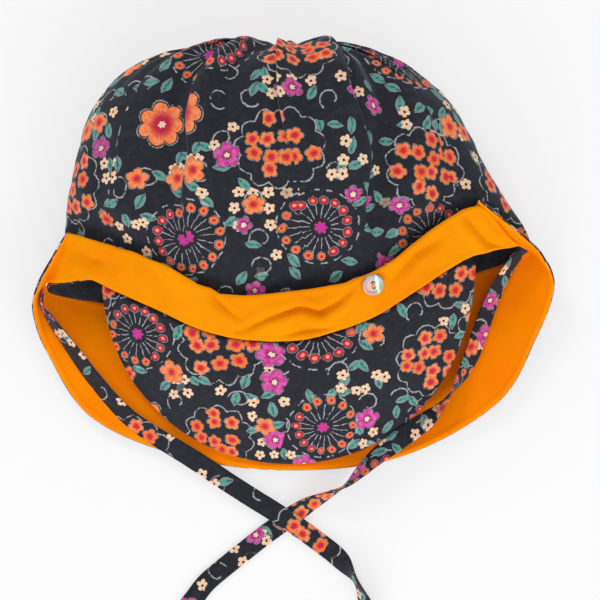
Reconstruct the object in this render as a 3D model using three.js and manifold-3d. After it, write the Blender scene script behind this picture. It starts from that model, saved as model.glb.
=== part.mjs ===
// A baby's sun hat that lies on its back, front side up, in millimetres, +Z up.
// The gathered top of the crown points along +Y and the neck flap lies towards -Y.
// The origin is under the middle of the hat without its ties, on the surface that it lies on.
// Angles go round the hat's own axis in degrees: 0 is the hat's side at +X, 90 its front, which
// lies uppermost, 180 the side at -X and 270 its back, which lies on the surface.

import * as THREE from "three";
import { mergeVertices } from "three/addons/utils/BufferGeometryUtils.js";
import Module from "manifold-3d";

// Driving sizes
const CLOTH = 1.8;
const VISOR_THICKNESS = 2.2;
const SEAM_GAP = 1;
const TIE_WIDTH = 9.4;
const TIE_THICKNESS = 1.2;
const BUTTON_RADIUS = 5.2;
const BUTTON_THICKNESS = 1.8;
const BUTTON_HOLE_RADIUS = 0.75;
const BUTTON_HOLE_OFFSET = 1.2;
const THREAD_RADIUS = 0.42;

// Mesh steps
const CROWN_ANGLES = 76;
const CROWN_ROWS = 22;
const LINING_ROWS = 11;
const CUFF_STEPS = 44;
const CUFF_ROWS = 3;
const VISOR_STEPS = 34;
const VISOR_ROWS = 6;
const FLAP_STEPS = 56;
const FLAP_ROWS = 6;
const TIE_STEPS = 56;
const BUTTON_SIDES = 28;

// The crown, from the gather at its top to its rim. Each ring is given by its two sides, its
// crest, which is the front of the hat, and its base, which is the back.
const GATHER = { x: -5.5, y: 96.6, z: 21 };
const CROWN_RINGS = [
  { leftX: -36, leftY: 98.8, rightX: 25, rightY: 98.6, sideZ: 21, crestY: 98.6, crestZ: 36, baseY: 96, baseZ: 5 },
  { leftX: -61, leftY: 94.4, rightX: 47, rightY: 93.4, sideZ: 19, crestY: 93, crestZ: 50, baseY: 88, baseZ: 0 },
  { leftX: -81, leftY: 84.5, rightX: 63, rightY: 82, sideZ: 18, crestY: 80, crestZ: 60, baseY: 73, baseZ: 0 },
  { leftX: -95, leftY: 68, rightX: 76, rightY: 69.8, sideZ: 18, crestY: 60, crestZ: 64.5, baseY: 52, baseZ: 0 },
  { leftX: -102, leftY: 47, rightX: 84, rightY: 55, sideZ: 17, crestY: 36, crestZ: 64, baseY: 31, baseZ: 0 },
  { leftX: -106.2, leftY: 27, rightX: 90.5, rightY: 42.5, sideZ: 16, crestY: 9, crestZ: 58, baseY: 10, baseZ: 0 },
];
const CREST_ROUNDNESS = 2.15;
const BASE_ROUNDNESS = 4;
const BASE_FLATNESS = 1.04;

// The line on the crown that the turned-up cuff reaches, and the rim where the cuff is folded.
const CUFF_LINE = [
  { angle: 0, x: 110, y: 10, z: 13 },
  { angle: 20, x: 102.6, y: 17, z: 23 },
  { angle: 41, x: 84, y: 22.7, z: 35 },
  { angle: 57, x: 60.8, y: 10.6, z: 42 },
  { angle: 71, x: 34.4, y: -9, z: 46 },
  { angle: 90, x: -1.5, y: -17, z: 47.5 },
  { angle: 106, x: -31, y: -18, z: 46 },
  { angle: 123, x: -60, y: -3.4, z: 40.5 },
  { angle: 141, x: -86, y: 6, z: 31 },
  { angle: 158, x: -101.5, y: 10.2, z: 21 },
  { angle: 180, x: -108, y: 6, z: 12 },
  { angle: 215, x: -84, y: -5, z: 0 },
  { angle: 250, x: -36, y: -13, z: 0 },
  { angle: 290, x: 38, y: -8, z: 0 },
  { angle: 325, x: 87, y: 5, z: 0 },
];
const RIM = [
  { angle: 0, x: 112, y: 3, z: 9.5 },
  { angle: 12, x: 107, y: 6, z: 14 },
  { angle: 23, x: 97.7, y: 3.2, z: 21 },
  { angle: 36, x: 82.6, y: -1, z: 27.5 },
  { angle: 47, x: 68.3, y: -9.2, z: 31.5 },
  { angle: 57, x: 54.2, y: -18.7, z: 34.5 },
  { angle: 70, x: 33, y: -31, z: 37.2 },
  { angle: 90, x: -1.5, y: -40.3, z: 38.5 },
  { angle: 106, x: -36, y: -37, z: 37 },
  { angle: 122, x: -64, y: -25.2, z: 32.5 },
  { angle: 137, x: -85.5, y: -15.7, z: 26.5 },
  { angle: 144, x: -93, y: -11.8, z: 23.5 },
  { angle: 158, x: -107, y: -13.4, z: 17 },
  { angle: 172, x: -116, y: -13.8, z: 11.5 },
  { angle: 184, x: -116.2, y: -17, z: 6.5 },
  { angle: 202, x: -101, y: -20.5, z: 1 },
  { angle: 215, x: -88, y: -23, z: 0 },
  { angle: 250, x: -38, y: -30, z: 0 },
  { angle: 290, x: 40, y: -25, z: 0 },
  { angle: 325, x: 89, y: -7.6, z: 0 },
  { angle: 345, x: 104, y: -1.5, z: 4 },
];

// Tucks of the crown: along each one the cloth steps up by about twice its lift, on the side of
// larger angles where raised is 1. They run from the gather, which is at share 0, to the rim.
const TUCKS = [
  { name: "left", angle: 115, drift: -2, lift: 2.4, raised: -1, width: 17, from: 0.1, to: 0.86 },
  { name: "middle", angle: 87, drift: -4, lift: 2, raised: -1, width: 12, from: 0.06, to: 0.62 },
  { name: "right", angle: 62, drift: 2, lift: 2.6, raised: 1, width: 15, from: 0.08, to: 0.84 },
  { name: "left side", angle: 150, drift: 0, lift: 1.2, raised: -1, width: 12, from: 0.08, to: 0.5 },
  { name: "right side", angle: 30, drift: 0, lift: 1.3, raised: 1, width: 12, from: 0.08, to: 0.55 },
];
const TUCK_EDGE = 4;
const GATHER_FOLDS = 13;
const GATHER_FOLD_HEIGHT = 1.3;
const GATHER_REACH = 0.36;

// The cuff's ends slope: the angles where it ends at the rim and at the cuff line.
const CUFF_RIGHT_END = { rim: 17.6, line: 41 };
const CUFF_LEFT_END = { rim: 170.2, line: 158 };
const CUFF_STAND_OFF = { rim: 0.7, line: 2.4 };

// The visor's outer edge is half of a flat round shape. Its ends lie at the rim.
const VISOR_ANGLES = { right: 42, left: 140 };
const VISOR_EDGE = { x: -1.5, rightY: -4, leftY: -16, tipY: -99, halfWidth: 87, roundness: 2.06 };
const VISOR_EDGE_Z = 5.2;
const VISOR_END_DROP = 5.5;
const VISOR_ARCH = 4.5;

// The neck flap, from the tip beside the cuff's left end round the back to the right one. It is
// sewn to the crown at the angle and the share given, and the hem is its free edge.
const FLAP = [
  { station: 0, angle: 163, share: 0.875, off: 1.8, hemX: -106, hemY: 9.6, hemZ: 25, bowl: 1 },
  { station: 1, angle: 172, share: 0.94, off: 1.8, hemX: -112.6, hemY: -1.5, hemZ: 22.5, bowl: 1 },
  { station: 2, angle: 179, share: 1, off: 1.3, hemX: -119.8, hemY: -14.5, hemZ: 19.5, bowl: 1 },
  { station: 3, angle: 189, share: 1, off: 0.6, hemX: -122.8, hemY: -27, hemZ: 15.5, bowl: 1.2 },
  { station: 4, angle: 205, share: 1, off: 0.2, hemX: -115.9, hemY: -47.9, hemZ: 10, bowl: 1.6 },
  { station: 5, angle: 226, share: 1, off: 0, hemX: -95, hemY: -77.9, hemZ: 6, bowl: 2.2 },
  { station: 6, angle: 250, share: 1, off: 0, hemX: -50.5, hemY: -96.5, hemZ: 3.2, bowl: 2.4 },
  { station: 7, angle: 270, share: 1, off: 0, hemX: 0, hemY: -102.5, hemZ: 2.2, bowl: 2.4 },
  { station: 8, angle: 291, share: 1, off: 0, hemX: 51.3, hemY: -96, hemZ: 3.2, bowl: 2.4 },
  { station: 9, angle: 312, share: 1, off: 0, hemX: 96.7, hemY: -70.9, hemZ: 6.5, bowl: 2.2 },
  { station: 10, angle: 332, share: 1, off: 0, hemX: 115.3, hemY: -39.6, hemZ: 10.5, bowl: 1.8 },
  { station: 11, angle: 350, share: 1, off: 0.6, hemX: 123.4, hemY: -16.3, hemZ: 14.5, bowl: 1.2 },
  { station: 12, angle: 366, share: 1, off: 1.3, hemX: 118.6, hemY: -3, hemZ: 20, bowl: 1 },
  { station: 13, angle: 377.4, share: 0.97, off: 1.7, hemX: 110, hemY: 6, hemZ: 27, bowl: 1 },
  { station: 14, angle: 398, share: 0.875, off: 1.8, hemX: 85.6, hemY: 23.8, hemZ: 42, bowl: 1 },
];

// The ties' middle lines, from the corners of the rim to their free ends. The turn is how far the
// band is rolled about its line, from lying flat.
const LEFT_TIE = [
  { x: -116.4, y: -20, z: 15, turn: 78 },
  { x: -115.8, y: -26, z: 15.8, turn: 78 },
  { x: -111.4, y: -34, z: 13.8, turn: 64 },
  { x: -104.4, y: -42.6, z: 10.7, turn: 40 },
  { x: -97.6, y: -51.6, z: 8.5, turn: 22 },
  { x: -91, y: -60.6, z: 7.3, turn: 10 },
  { x: -82.4, y: -70, z: 6.6, turn: 4 },
  { x: -73, y: -78.4, z: 6.2, turn: 0 },
  { x: -61.6, y: -88.2, z: 6, turn: 0 },
  { x: -46.4, y: -97.7, z: 5.6, turn: 0 },
  { x: -32.8, y: -107.1, z: 4.6, turn: 0 },
  { x: -17.8, y: -116.7, z: 3.6, turn: 0 },
  { x: -2.8, y: -126, z: 3.4, turn: 0 },
  { x: 10.4, y: -135.3, z: 2.8, turn: 0 },
  { x: 21.8, y: -144.4, z: 2.8, turn: 14 },
  { x: 29.4, y: -154, z: 5.6, turn: 78 },
  { x: 33.8, y: -163.6, z: 5, turn: 56 },
  { x: 37.4, y: -174, z: 2.6, turn: 20 },
];
const RIGHT_TIE = [
  { x: 105.6, y: -3.6, z: 10.4, turn: -62 },
  { x: 99.6, y: -10.6, z: 8.6, turn: -50 },
  { x: 94.4, y: -20, z: 7, turn: -40 },
  { x: 89.4, y: -31.6, z: 6.6, turn: -34 },
  { x: 84.4, y: -44.6, z: 7, turn: -34 },
  { x: 79.2, y: -55, z: 8.4, turn: -50 },
  { x: 74.8, y: -63.6, z: 9.4, turn: -80 },
  { x: 69.6, y: -72.4, z: 9.4, turn: -110 },
  { x: 60.4, y: -80.4, z: 9.2, turn: -160 },
  { x: 49.6, y: -88, z: 9.2, turn: -176 },
  { x: 39.4, y: -95, z: 8.5, turn: -166 },
  { x: 31, y: -103.6, z: 7.2, turn: -130 },
  { x: 25, y: -109.4, z: 6, turn: -94 },
  { x: 16.6, y: -114, z: 4.8, turn: -68 },
  { x: 7, y: -119, z: 3.4, turn: -34 },
  { x: -2.4, y: -125.4, z: 1.3, turn: 0 },
  { x: -11.4, y: -131.8, z: 0.8, turn: 0 },
  { x: -20.6, y: -138.9, z: 0.8, turn: 0 },
  { x: -38.9, y: -153.7, z: 0.8, turn: 0 },
  { x: -47.8, y: -164.2, z: 0.8, turn: 0 },
  { x: -55.2, y: -174.1, z: 0.8, turn: 0 },
];

// Where the button sits on the cuff: its angle, and its share of the way up from the fold.
const BUTTON_PLACE = { angle: 70.6, share: 0.78 };
const BUTTON_SPIN = 15;

const radians = THREE.MathUtils.degToRad;

function mix(a, b, share) {
  return a + (b - a) * share;
}

// A smooth 0 to 1 as value goes from low to high.
function ease(low, high, value) {
  return THREE.MathUtils.smoothstep(value, low, high);
}

// A smooth curve through values at rising knots.
function spline(knots, values, at) {
  const last = knots.length - 1;
  let i = 0;
  while (i < last - 1 && at > knots[i + 1]) i += 1;
  const slope = (k) => {
    const a = Math.max(k - 1, 0);
    const b = Math.min(k + 1, last);
    return (values[b] - values[a]) / (knots[b] - knots[a]);
  };
  const span = knots[i + 1] - knots[i];
  const t = THREE.MathUtils.clamp((at - knots[i]) / span, 0, 1);
  const rise = values[i + 1] - values[i];
  const start = slope(i) * span;
  const end = slope(i + 1) * span;
  return values[i] + t * (start + t * (3 * rise - 2 * start - end + t * (start + end - 2 * rise)));
}

function splineOf(rows, knotName, valueName, at) {
  return spline(rows.map((row) => row[knotName]), rows.map((row) => row[valueName]), at);
}

// A point on a closed ring that is given by a table of angles.
function pointOnTable(rows, angle) {
  const last = rows.length - 1;
  const round = [
    { ...rows[last], angle: rows[last].angle - 360 },
    ...rows,
    { ...rows[0], angle: 360 },
    { ...rows[1], angle: rows[1].angle + 360 },
  ];
  const at = ((angle % 360) + 360) % 360;
  const [x, y, z] = ["x", "y", "z"].map((axis) => splineOf(round, "angle", axis, at));
  return new THREE.Vector3(x, y, Math.max(z, 0));
}

// A point on a ring that is given by its sides, crest and base.
function pointOnRing(ring, angle) {
  const c = Math.cos(radians(angle));
  const s = Math.sin(radians(angle));
  const middle = (ring.leftX + ring.rightX) / 2;
  const sideX = c > 0 ? ring.rightX : ring.leftX;
  const sideY = c > 0 ? ring.rightY : ring.leftY;
  const roundness = s > 0 ? CREST_ROUNDNESS : BASE_ROUNDNESS;
  const rise = (1 - Math.abs(c) ** roundness) ** (1 / roundness);
  const endY = s > 0 ? ring.crestY : ring.baseY;
  const z = s > 0
    ? mix(ring.sideZ, ring.crestZ, rise)
    : mix(ring.sideZ, ring.baseZ, Math.min(1, BASE_FLATNESS * rise));
  return new THREE.Vector3(mix(middle, sideX, Math.abs(c)), mix(sideY, endY, s * s), z);
}

const ROWS_IN_ALL = CROWN_RINGS.length + 2;
const CUFF_LINE_SHARE = (ROWS_IN_ALL - 1) / ROWS_IN_ALL;

// The crown's outer face without its tucks. Share is 0 at the gather and 1 at the rim.
function crownFace(angle, share) {
  const line = [
    GATHER,
    ...CROWN_RINGS.map((ring) => pointOnRing(ring, angle)),
    pointOnTable(CUFF_LINE, angle),
    pointOnTable(RIM, angle),
  ];
  const knots = line.map((_, i) => i / ROWS_IN_ALL);
  const [x, y, z] = ["x", "y", "z"].map((axis) => spline(knots, line.map((p) => p[axis]), share));
  return new THREE.Vector3(x, y, Math.max(z, 0));
}

// The unit normal of any surface(u, v), on the side of du x dv.
function normalOf(surface, u, v, du, dv) {
  const alongU = surface(u + du, v).sub(surface(u - du, v));
  const alongV = surface(u, v + dv).sub(surface(u, v - dv));
  return alongU.cross(alongV).normalize();
}

function crownNormal(angle, share) {
  const safe = THREE.MathUtils.clamp(share, 0.03, 0.995);
  return normalOf(crownFace, angle, safe, 1.5, 0.005);
}

// How far the tucks and the gather lift the crown's cloth.
function tuckHeight(angle, share) {
  let height = 0;
  for (const tuck of TUCKS) {
    const away = angle - tuck.angle - tuck.drift * share;
    const along = ease(tuck.from, tuck.from + 0.16, share) * (1 - ease(tuck.to - 0.2, tuck.to, share));
    const across = Math.tanh(away / TUCK_EDGE) * Math.exp(-Math.abs(away) / tuck.width);
    height += tuck.lift * tuck.raised * along * across;
  }
  const gathered = ease(0.02, 0.1, share) * (1 - ease(GATHER_REACH / 3, GATHER_REACH, share));
  return height + GATHER_FOLD_HEIGHT * gathered * Math.cos(radians(GATHER_FOLDS * angle));
}

function crownOuter(angle, share) {
  const face = crownFace(angle, share);
  if (share < 0.01) return face;
  const lifted = face.addScaledVector(crownNormal(angle, share), tuckHeight(angle, share));
  lifted.z = Math.max(lifted.z, 0);
  return lifted;
}

function crownInner(angle, share) {
  const depth = CLOTH + GATHER_FOLD_HEIGHT * (1 - ease(0.05, GATHER_REACH, share));
  if (share < 0.01) return new THREE.Vector3(GATHER.x, GATHER.y - 2 * depth, GATHER.z);
  return crownOuter(angle, share).addScaledVector(crownNormal(angle, share), -depth);
}

function geometryOf(points, triangles) {
  const geometry = new THREE.BufferGeometry();
  geometry.setAttribute("position", new THREE.Float32BufferAttribute(points.flatMap((p) => p.toArray()), 3));
  geometry.setIndex(triangles.flat());
  return geometry;
}

// The volume inside a closed mesh, which is negative if its faces point in.
function volumeOf(geometry) {
  const place = geometry.getAttribute("position");
  const corner = (i) => new THREE.Vector3().fromBufferAttribute(place, geometry.index.getX(i));
  let volume = 0;
  for (let i = 0; i < geometry.index.count; i += 3) {
    volume += corner(i).dot(corner(i + 1).cross(corner(i + 2))) / 6;
  }
  return volume;
}

function facingOut(geometry) {
  if (volumeOf(geometry) > 0) return geometry;
  const index = geometry.index.array;
  for (let i = 0; i < index.length; i += 3) [index[i], index[i + 1]] = [index[i + 1], index[i]];
  return geometry;
}

// Two triangles for the four corners of a cell.
function cell(a, b, c, d) {
  return [[a, b, c], [a, c, d]];
}

// A closed bag: an outer and an inner face that meet round the rim, each with a pole at its top.
function bag(outer, inner, angles, outerRows, innerRows) {
  const points = [];
  const triangles = [];
  const face = (surface, rows, turned) => {
    const pole = points.push(surface(0, 0)) - 1;
    const rings = [];
    for (let row = 1; row <= rows; row += 1) {
      const first = points.length;
      for (let i = 0; i < angles; i += 1) points.push(surface((i * 360) / angles, row / rows));
      rings.push(first);
    }
    for (let i = 0; i < angles; i += 1) {
      const next = (i + 1) % angles;
      const top = [pole, rings[0] + i, rings[0] + next];
      triangles.push(turned ? top.reverse() : top);
      for (let row = 1; row < rows; row += 1) {
        const [a, b] = [rings[row - 1], rings[row]];
        const pair = cell(a + i, b + i, b + next, a + next);
        triangles.push(...(turned ? pair.map((t) => t.reverse()) : pair));
      }
    }
    return rings[rows - 1];
  };
  const outerRim = face(outer, outerRows, false);
  const innerRim = face(inner, innerRows, true);
  for (let i = 0; i < angles; i += 1) {
    const next = (i + 1) % angles;
    triangles.push(...cell(outerRim + i, innerRim + i, innerRim + next, outerRim + next));
  }
  return facingOut(geometryOf(points, triangles));
}

// A closed panel of cloth about a middle surface(u, v), with u and v from 0 to 1.
function panel(surface, steps, rows, thickness) {
  const points = [];
  const triangles = [];
  const width = rows + 1;
  const near = 0.004;
  for (const side of [0.5, -0.5]) {
    for (let i = 0; i <= steps; i += 1) {
      for (let j = 0; j <= rows; j += 1) {
        const u = i / steps;
        const v = j / rows;
        const safeU = THREE.MathUtils.clamp(u, near, 1 - near);
        const safeV = THREE.MathUtils.clamp(v, near, 1 - near);
        const normal = normalOf(surface, safeU, safeV, near, near);
        points.push(surface(u, v).addScaledVector(normal, side * thickness));
      }
    }
  }
  const half = points.length / 2;
  const at = (i, j) => i * width + j;
  for (let i = 0; i < steps; i += 1) {
    for (let j = 0; j < rows; j += 1) {
      const corners = [at(i, j), at(i + 1, j), at(i + 1, j + 1), at(i, j + 1)];
      triangles.push(...cell(...corners));
      triangles.push(...cell(...corners.map((k) => k + half).reverse()));
    }
    triangles.push(...cell(at(i, 0), at(i, 0) + half, at(i + 1, 0) + half, at(i + 1, 0)));
    triangles.push(...cell(at(i + 1, rows), at(i + 1, rows) + half, at(i, rows) + half, at(i, rows)));
  }
  for (let j = 0; j < rows; j += 1) {
    triangles.push(...cell(at(0, j + 1), at(0, j + 1) + half, at(0, j) + half, at(0, j)));
    triangles.push(...cell(at(steps, j), at(steps, j) + half, at(steps, j + 1) + half, at(steps, j + 1)));
  }
  return facingOut(geometryOf(points, triangles));
}

// The cuff's middle surface: u goes from its right end to its left one, v from the fold upwards.
function cuffSurface(u, v) {
  const right = mix(CUFF_RIGHT_END.rim, CUFF_RIGHT_END.line, v);
  const left = mix(CUFF_LEFT_END.rim, CUFF_LEFT_END.line, v);
  const angle = mix(right, left, u);
  const share = mix(1, CUFF_LINE_SHARE, v);
  const away = mix(CUFF_STAND_OFF.rim, CUFF_STAND_OFF.line, v) + CLOTH / 2;
  return crownFace(angle, share).addScaledVector(crownNormal(angle, share), away);
}

// The visor's middle surface: u goes from its right end to its left one, v from the rim outwards.
function visorSurface(u, v) {
  const inner = pointOnTable(RIM, mix(VISOR_ANGLES.right, VISOR_ANGLES.left, u));
  inner.y -= SEAM_GAP;
  inner.z -= CLOTH / 2;
  const turn = Math.PI * u;
  const power = 2 / VISOR_EDGE.roundness;
  const acrossX = Math.sign(Math.cos(turn)) * Math.abs(Math.cos(turn)) ** power;
  const across = Math.sin(turn) ** power;
  const ends = 1 - Math.sin(turn);
  const outer = new THREE.Vector3(
    VISOR_EDGE.x + VISOR_EDGE.halfWidth * acrossX,
    mix(mix(VISOR_EDGE.rightY, VISOR_EDGE.leftY, u), VISOR_EDGE.tipY, across),
    mix(VISOR_EDGE_Z, inner.z - VISOR_END_DROP, ends ** 2),
  );
  const point = inner.clone().lerp(outer, v);
  point.z += VISOR_ARCH * Math.sin(Math.PI * v) * Math.sin(turn);
  return point;
}

// The flap's middle surface: u goes from its left tip to its right one, v from the seam to the hem.
function flapSurface(u, v) {
  const at = u * (FLAP.length - 1);
  const read = (name) => splineOf(FLAP, "station", name, at);
  const angle = read("angle");
  const share = Math.min(read("share"), 1);
  const seam = crownFace(angle, share).addScaledVector(crownNormal(angle, share), read("off"));
  seam.y -= SEAM_GAP;
  return new THREE.Vector3(
    mix(seam.x, read("hemX"), v),
    mix(seam.y, read("hemY"), v),
    Math.max(mix(seam.z, read("hemZ"), v ** read("bowl")), CLOTH / 2),
  );
}

// A flat band along a table of points, which turns about its line.
class TieCurve extends THREE.Curve {
  constructor(rows) {
    super();
    this.rows = rows.map((row, i) => ({ ...row, station: i / (rows.length - 1) }));
  }

  getPoint(t) {
    const [x, y, z] = ["x", "y", "z"].map((axis) => splineOf(this.rows, "station", axis, t));
    return new THREE.Vector3(x, y, z);
  }

  turn(t) {
    return splineOf(this.rows, "station", "turn", t);
  }
}

function tieGeometry(rows) {
  const curve = new TieCurve(rows);
  const corner = TIE_THICKNESS / 2;
  const flat = TIE_WIDTH / 2 - corner * 0.6;
  const section = [
    [-TIE_WIDTH / 2, 0], [-flat, -corner], [0, -corner], [flat, -corner],
    [TIE_WIDTH / 2, 0], [flat, corner], [0, corner], [-flat, corner],
  ];
  const points = [];
  const triangles = [];
  const sides = section.length;
  for (let i = 0; i <= TIE_STEPS; i += 1) {
    const t = i / TIE_STEPS;
    const along = curve.getTangent(t);
    const across = new THREE.Vector3(0, 0, 1).cross(along).normalize();
    across.applyAxisAngle(along, radians(curve.turn(t)));
    const up = along.clone().cross(across);
    for (const [wide, high] of section) {
      points.push(curve.getPoint(t).addScaledVector(across, wide).addScaledVector(up, high));
    }
  }
  for (let i = 0; i < TIE_STEPS; i += 1) {
    for (let k = 0; k < sides; k += 1) {
      const next = (k + 1) % sides;
      const row = i * sides;
      triangles.push(...cell(row + k, row + next, row + sides + next, row + sides + k));
    }
  }
  const last = TIE_STEPS * sides;
  for (let k = 1; k < sides - 1; k += 1) {
    triangles.push([0, k + 1, k]);
    triangles.push([last, last + k, last + k + 1]);
  }
  return facingOut(geometryOf(points, triangles));
}

// Solids for the button, which are cut and joined in its own frame, +Z out of its face.
const wasm = await Module();
wasm.setup();

function solidOf(geometry) {
  const bare = geometry.clone();
  bare.deleteAttribute("normal");
  bare.deleteAttribute("uv");
  const merged = mergeVertices(bare, 1e-4);
  return new wasm.Manifold(new wasm.Mesh({
    numProp: 3,
    vertProperties: new Float32Array(merged.getAttribute("position").array),
    triVerts: new Uint32Array(merged.index.array),
  }));
}

function geometryFrom(solid) {
  const { vertProperties, triVerts } = solid.getMesh();
  const geometry = new THREE.BufferGeometry();
  geometry.setAttribute("position", new THREE.BufferAttribute(vertProperties, 3));
  geometry.setIndex(new THREE.BufferAttribute(triVerts, 1));
  return geometry;
}

// A round bar along Z.
function bar(radius, from, to, sides, x = 0) {
  const shape = new THREE.CylinderGeometry(radius, radius, to - from, sides);
  return shape.rotateX(Math.PI / 2).translate(x, 0, (from + to) / 2);
}

function buttonGeometry() {
  const profile = [
    new THREE.Vector2(0, 0),
    new THREE.Vector2(BUTTON_RADIUS * 0.86, 0),
    new THREE.Vector2(BUTTON_RADIUS, BUTTON_THICKNESS * 0.45),
    new THREE.Vector2(BUTTON_RADIUS * 0.95, BUTTON_THICKNESS * 0.86),
    new THREE.Vector2(BUTTON_RADIUS * 0.84, BUTTON_THICKNESS),
    new THREE.Vector2(BUTTON_RADIUS * 0.6, BUTTON_THICKNESS * 0.82),
    new THREE.Vector2(0, BUTTON_THICKNESS * 0.74),
  ];
  let solid = solidOf(new THREE.LatheGeometry(profile, BUTTON_SIDES).rotateX(Math.PI / 2));
  for (const side of [-1, 1]) {
    const hole = bar(BUTTON_HOLE_RADIUS, -1, BUTTON_THICKNESS + 1, 12, side * BUTTON_HOLE_OFFSET);
    solid = solid.subtract(solidOf(hole));
  }
  return geometryFrom(solid);
}

// One stitch: two legs through the holes and a bar between them over the face.
function threadGeometry() {
  const top = BUTTON_THICKNESS * 0.74 + 0.35;
  let solid = solidOf(
    new THREE.BoxGeometry(2 * BUTTON_HOLE_OFFSET + THREAD_RADIUS, 2 * THREAD_RADIUS, THREAD_RADIUS)
      .translate(0, 0, top + THREAD_RADIUS / 2),
  );
  for (const side of [-1, 1]) {
    solid = solid.add(solidOf(bar(THREAD_RADIUS, 0, top + THREAD_RADIUS / 2, 8, side * BUTTON_HOLE_OFFSET)));
  }
  return geometryFrom(solid);
}

// Materials
function cloth(colour, roughness) {
  return new THREE.MeshStandardMaterial({ color: colour, roughness, metalness: 0 });
}
const PRINTED_COTTON = cloth(0x262832, 0.85);
const ORANGE_COTTON = cloth(0xf28a08, 0.8);
const SHELL = cloth(0xe6dccd, 0.25);
const ORANGE_THREAD = cloth(0xe07a18, 0.7);

const hat = new THREE.Group();

function addPiece(name, geometry, material, parent = hat) {
  const mesh = new THREE.Mesh(geometry, material);
  mesh.name = name;
  parent.add(mesh);
  return mesh;
}

addPiece("crown", bag(crownOuter, crownInner, CROWN_ANGLES, CROWN_ROWS, LINING_ROWS), PRINTED_COTTON);
addPiece("front_cuff", panel(cuffSurface, CUFF_STEPS, CUFF_ROWS, CLOTH), ORANGE_COTTON);
addPiece("visor", panel(visorSurface, VISOR_STEPS, VISOR_ROWS, VISOR_THICKNESS), PRINTED_COTTON);
addPiece("neck_flap", panel(flapSurface, FLAP_STEPS, FLAP_ROWS, CLOTH), ORANGE_COTTON);
addPiece("tie_left", tieGeometry(LEFT_TIE), PRINTED_COTTON);
addPiece("tie_right", tieGeometry(RIGHT_TIE), PRINTED_COTTON);

// The button lies on the cuff's outer face, held by its stitch.
const fastening = new THREE.Group();
const buttonShare = mix(1, CUFF_LINE_SHARE, BUTTON_PLACE.share);
const buttonNormal = crownNormal(BUTTON_PLACE.angle, buttonShare);
const buttonLift = mix(CUFF_STAND_OFF.rim, CUFF_STAND_OFF.line, BUTTON_PLACE.share) + CLOTH + 0.6;
fastening.position.copy(crownFace(BUTTON_PLACE.angle, buttonShare).addScaledVector(buttonNormal, buttonLift));
fastening.quaternion.setFromUnitVectors(new THREE.Vector3(0, 0, 1), buttonNormal);
fastening.rotateZ(radians(90 + BUTTON_SPIN));
addPiece("button", buttonGeometry(), SHELL, fastening);
addPiece("button_thread", threadGeometry(), ORANGE_THREAD, fastening);
hat.add(fastening);

export default hat;
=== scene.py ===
# A baby's sun hat that lies on its back: gathered crown, turned-up cuff, visor, neck flap and ties.
# Shapes are worked out in millimetres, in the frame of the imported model, and made in metres.

import math

import bpy
import numpy as np
from mathutils import Matrix, Vector


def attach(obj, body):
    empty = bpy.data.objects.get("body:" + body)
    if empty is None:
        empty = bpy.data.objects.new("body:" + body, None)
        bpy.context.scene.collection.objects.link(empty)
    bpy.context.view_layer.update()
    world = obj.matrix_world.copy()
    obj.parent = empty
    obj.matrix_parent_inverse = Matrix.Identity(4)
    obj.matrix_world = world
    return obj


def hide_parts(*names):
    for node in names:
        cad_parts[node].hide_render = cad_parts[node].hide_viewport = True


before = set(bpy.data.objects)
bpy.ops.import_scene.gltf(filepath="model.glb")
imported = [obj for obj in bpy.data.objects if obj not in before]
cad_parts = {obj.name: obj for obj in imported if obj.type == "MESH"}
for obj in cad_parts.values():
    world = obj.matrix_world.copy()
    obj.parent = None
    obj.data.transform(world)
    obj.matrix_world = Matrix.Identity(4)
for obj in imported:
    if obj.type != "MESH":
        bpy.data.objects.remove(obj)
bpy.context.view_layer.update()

MM = 0.001
TINY = 1e-9
WHITE = (1, 1, 1, 1)

# Driving sizes, in millimetres
CLOTH = 1.8
SEAM_GAP = 1.0
TIE_WIDTH = 9.4
TIE_THICKNESS = 1.3
TIE_ACROSS = (-1, -0.97, -0.9, -0.8, -0.74, -0.68, -0.4, 0, 0.4, 0.75, 0.9, 0.97, 1)
TIE_SEAM_AT = -0.74

# The crown's gather, and its rings from there to the rim: x and y of the left and of the right side, z of
# both sides, y and z of the crest and of the base.
GATHER = (-5.5, 96.6, 21)
CROWN_RINGS = [
    ((-36, 98.8), (25, 98.6), 21, (98.6, 36), (96, 5)),
    ((-61, 94.4), (47, 93.4), 19, (93, 50), (88, 0)),
    ((-81, 84.5), (63, 82), 18, (80, 60), (73, 0)),
    ((-95, 68), (76, 69.8), 18, (60, 64.5), (52, 0)),
    ((-102, 47), (84, 55), 17, (36, 64), (31, 0)),
    ((-106.2, 27), (90.5, 42.5), 16, (9, 58), (10, 0)),
]
CREST_ROUNDNESS = 2.15
BASE_ROUNDNESS = 4
BASE_FLATNESS = 1.04

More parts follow.
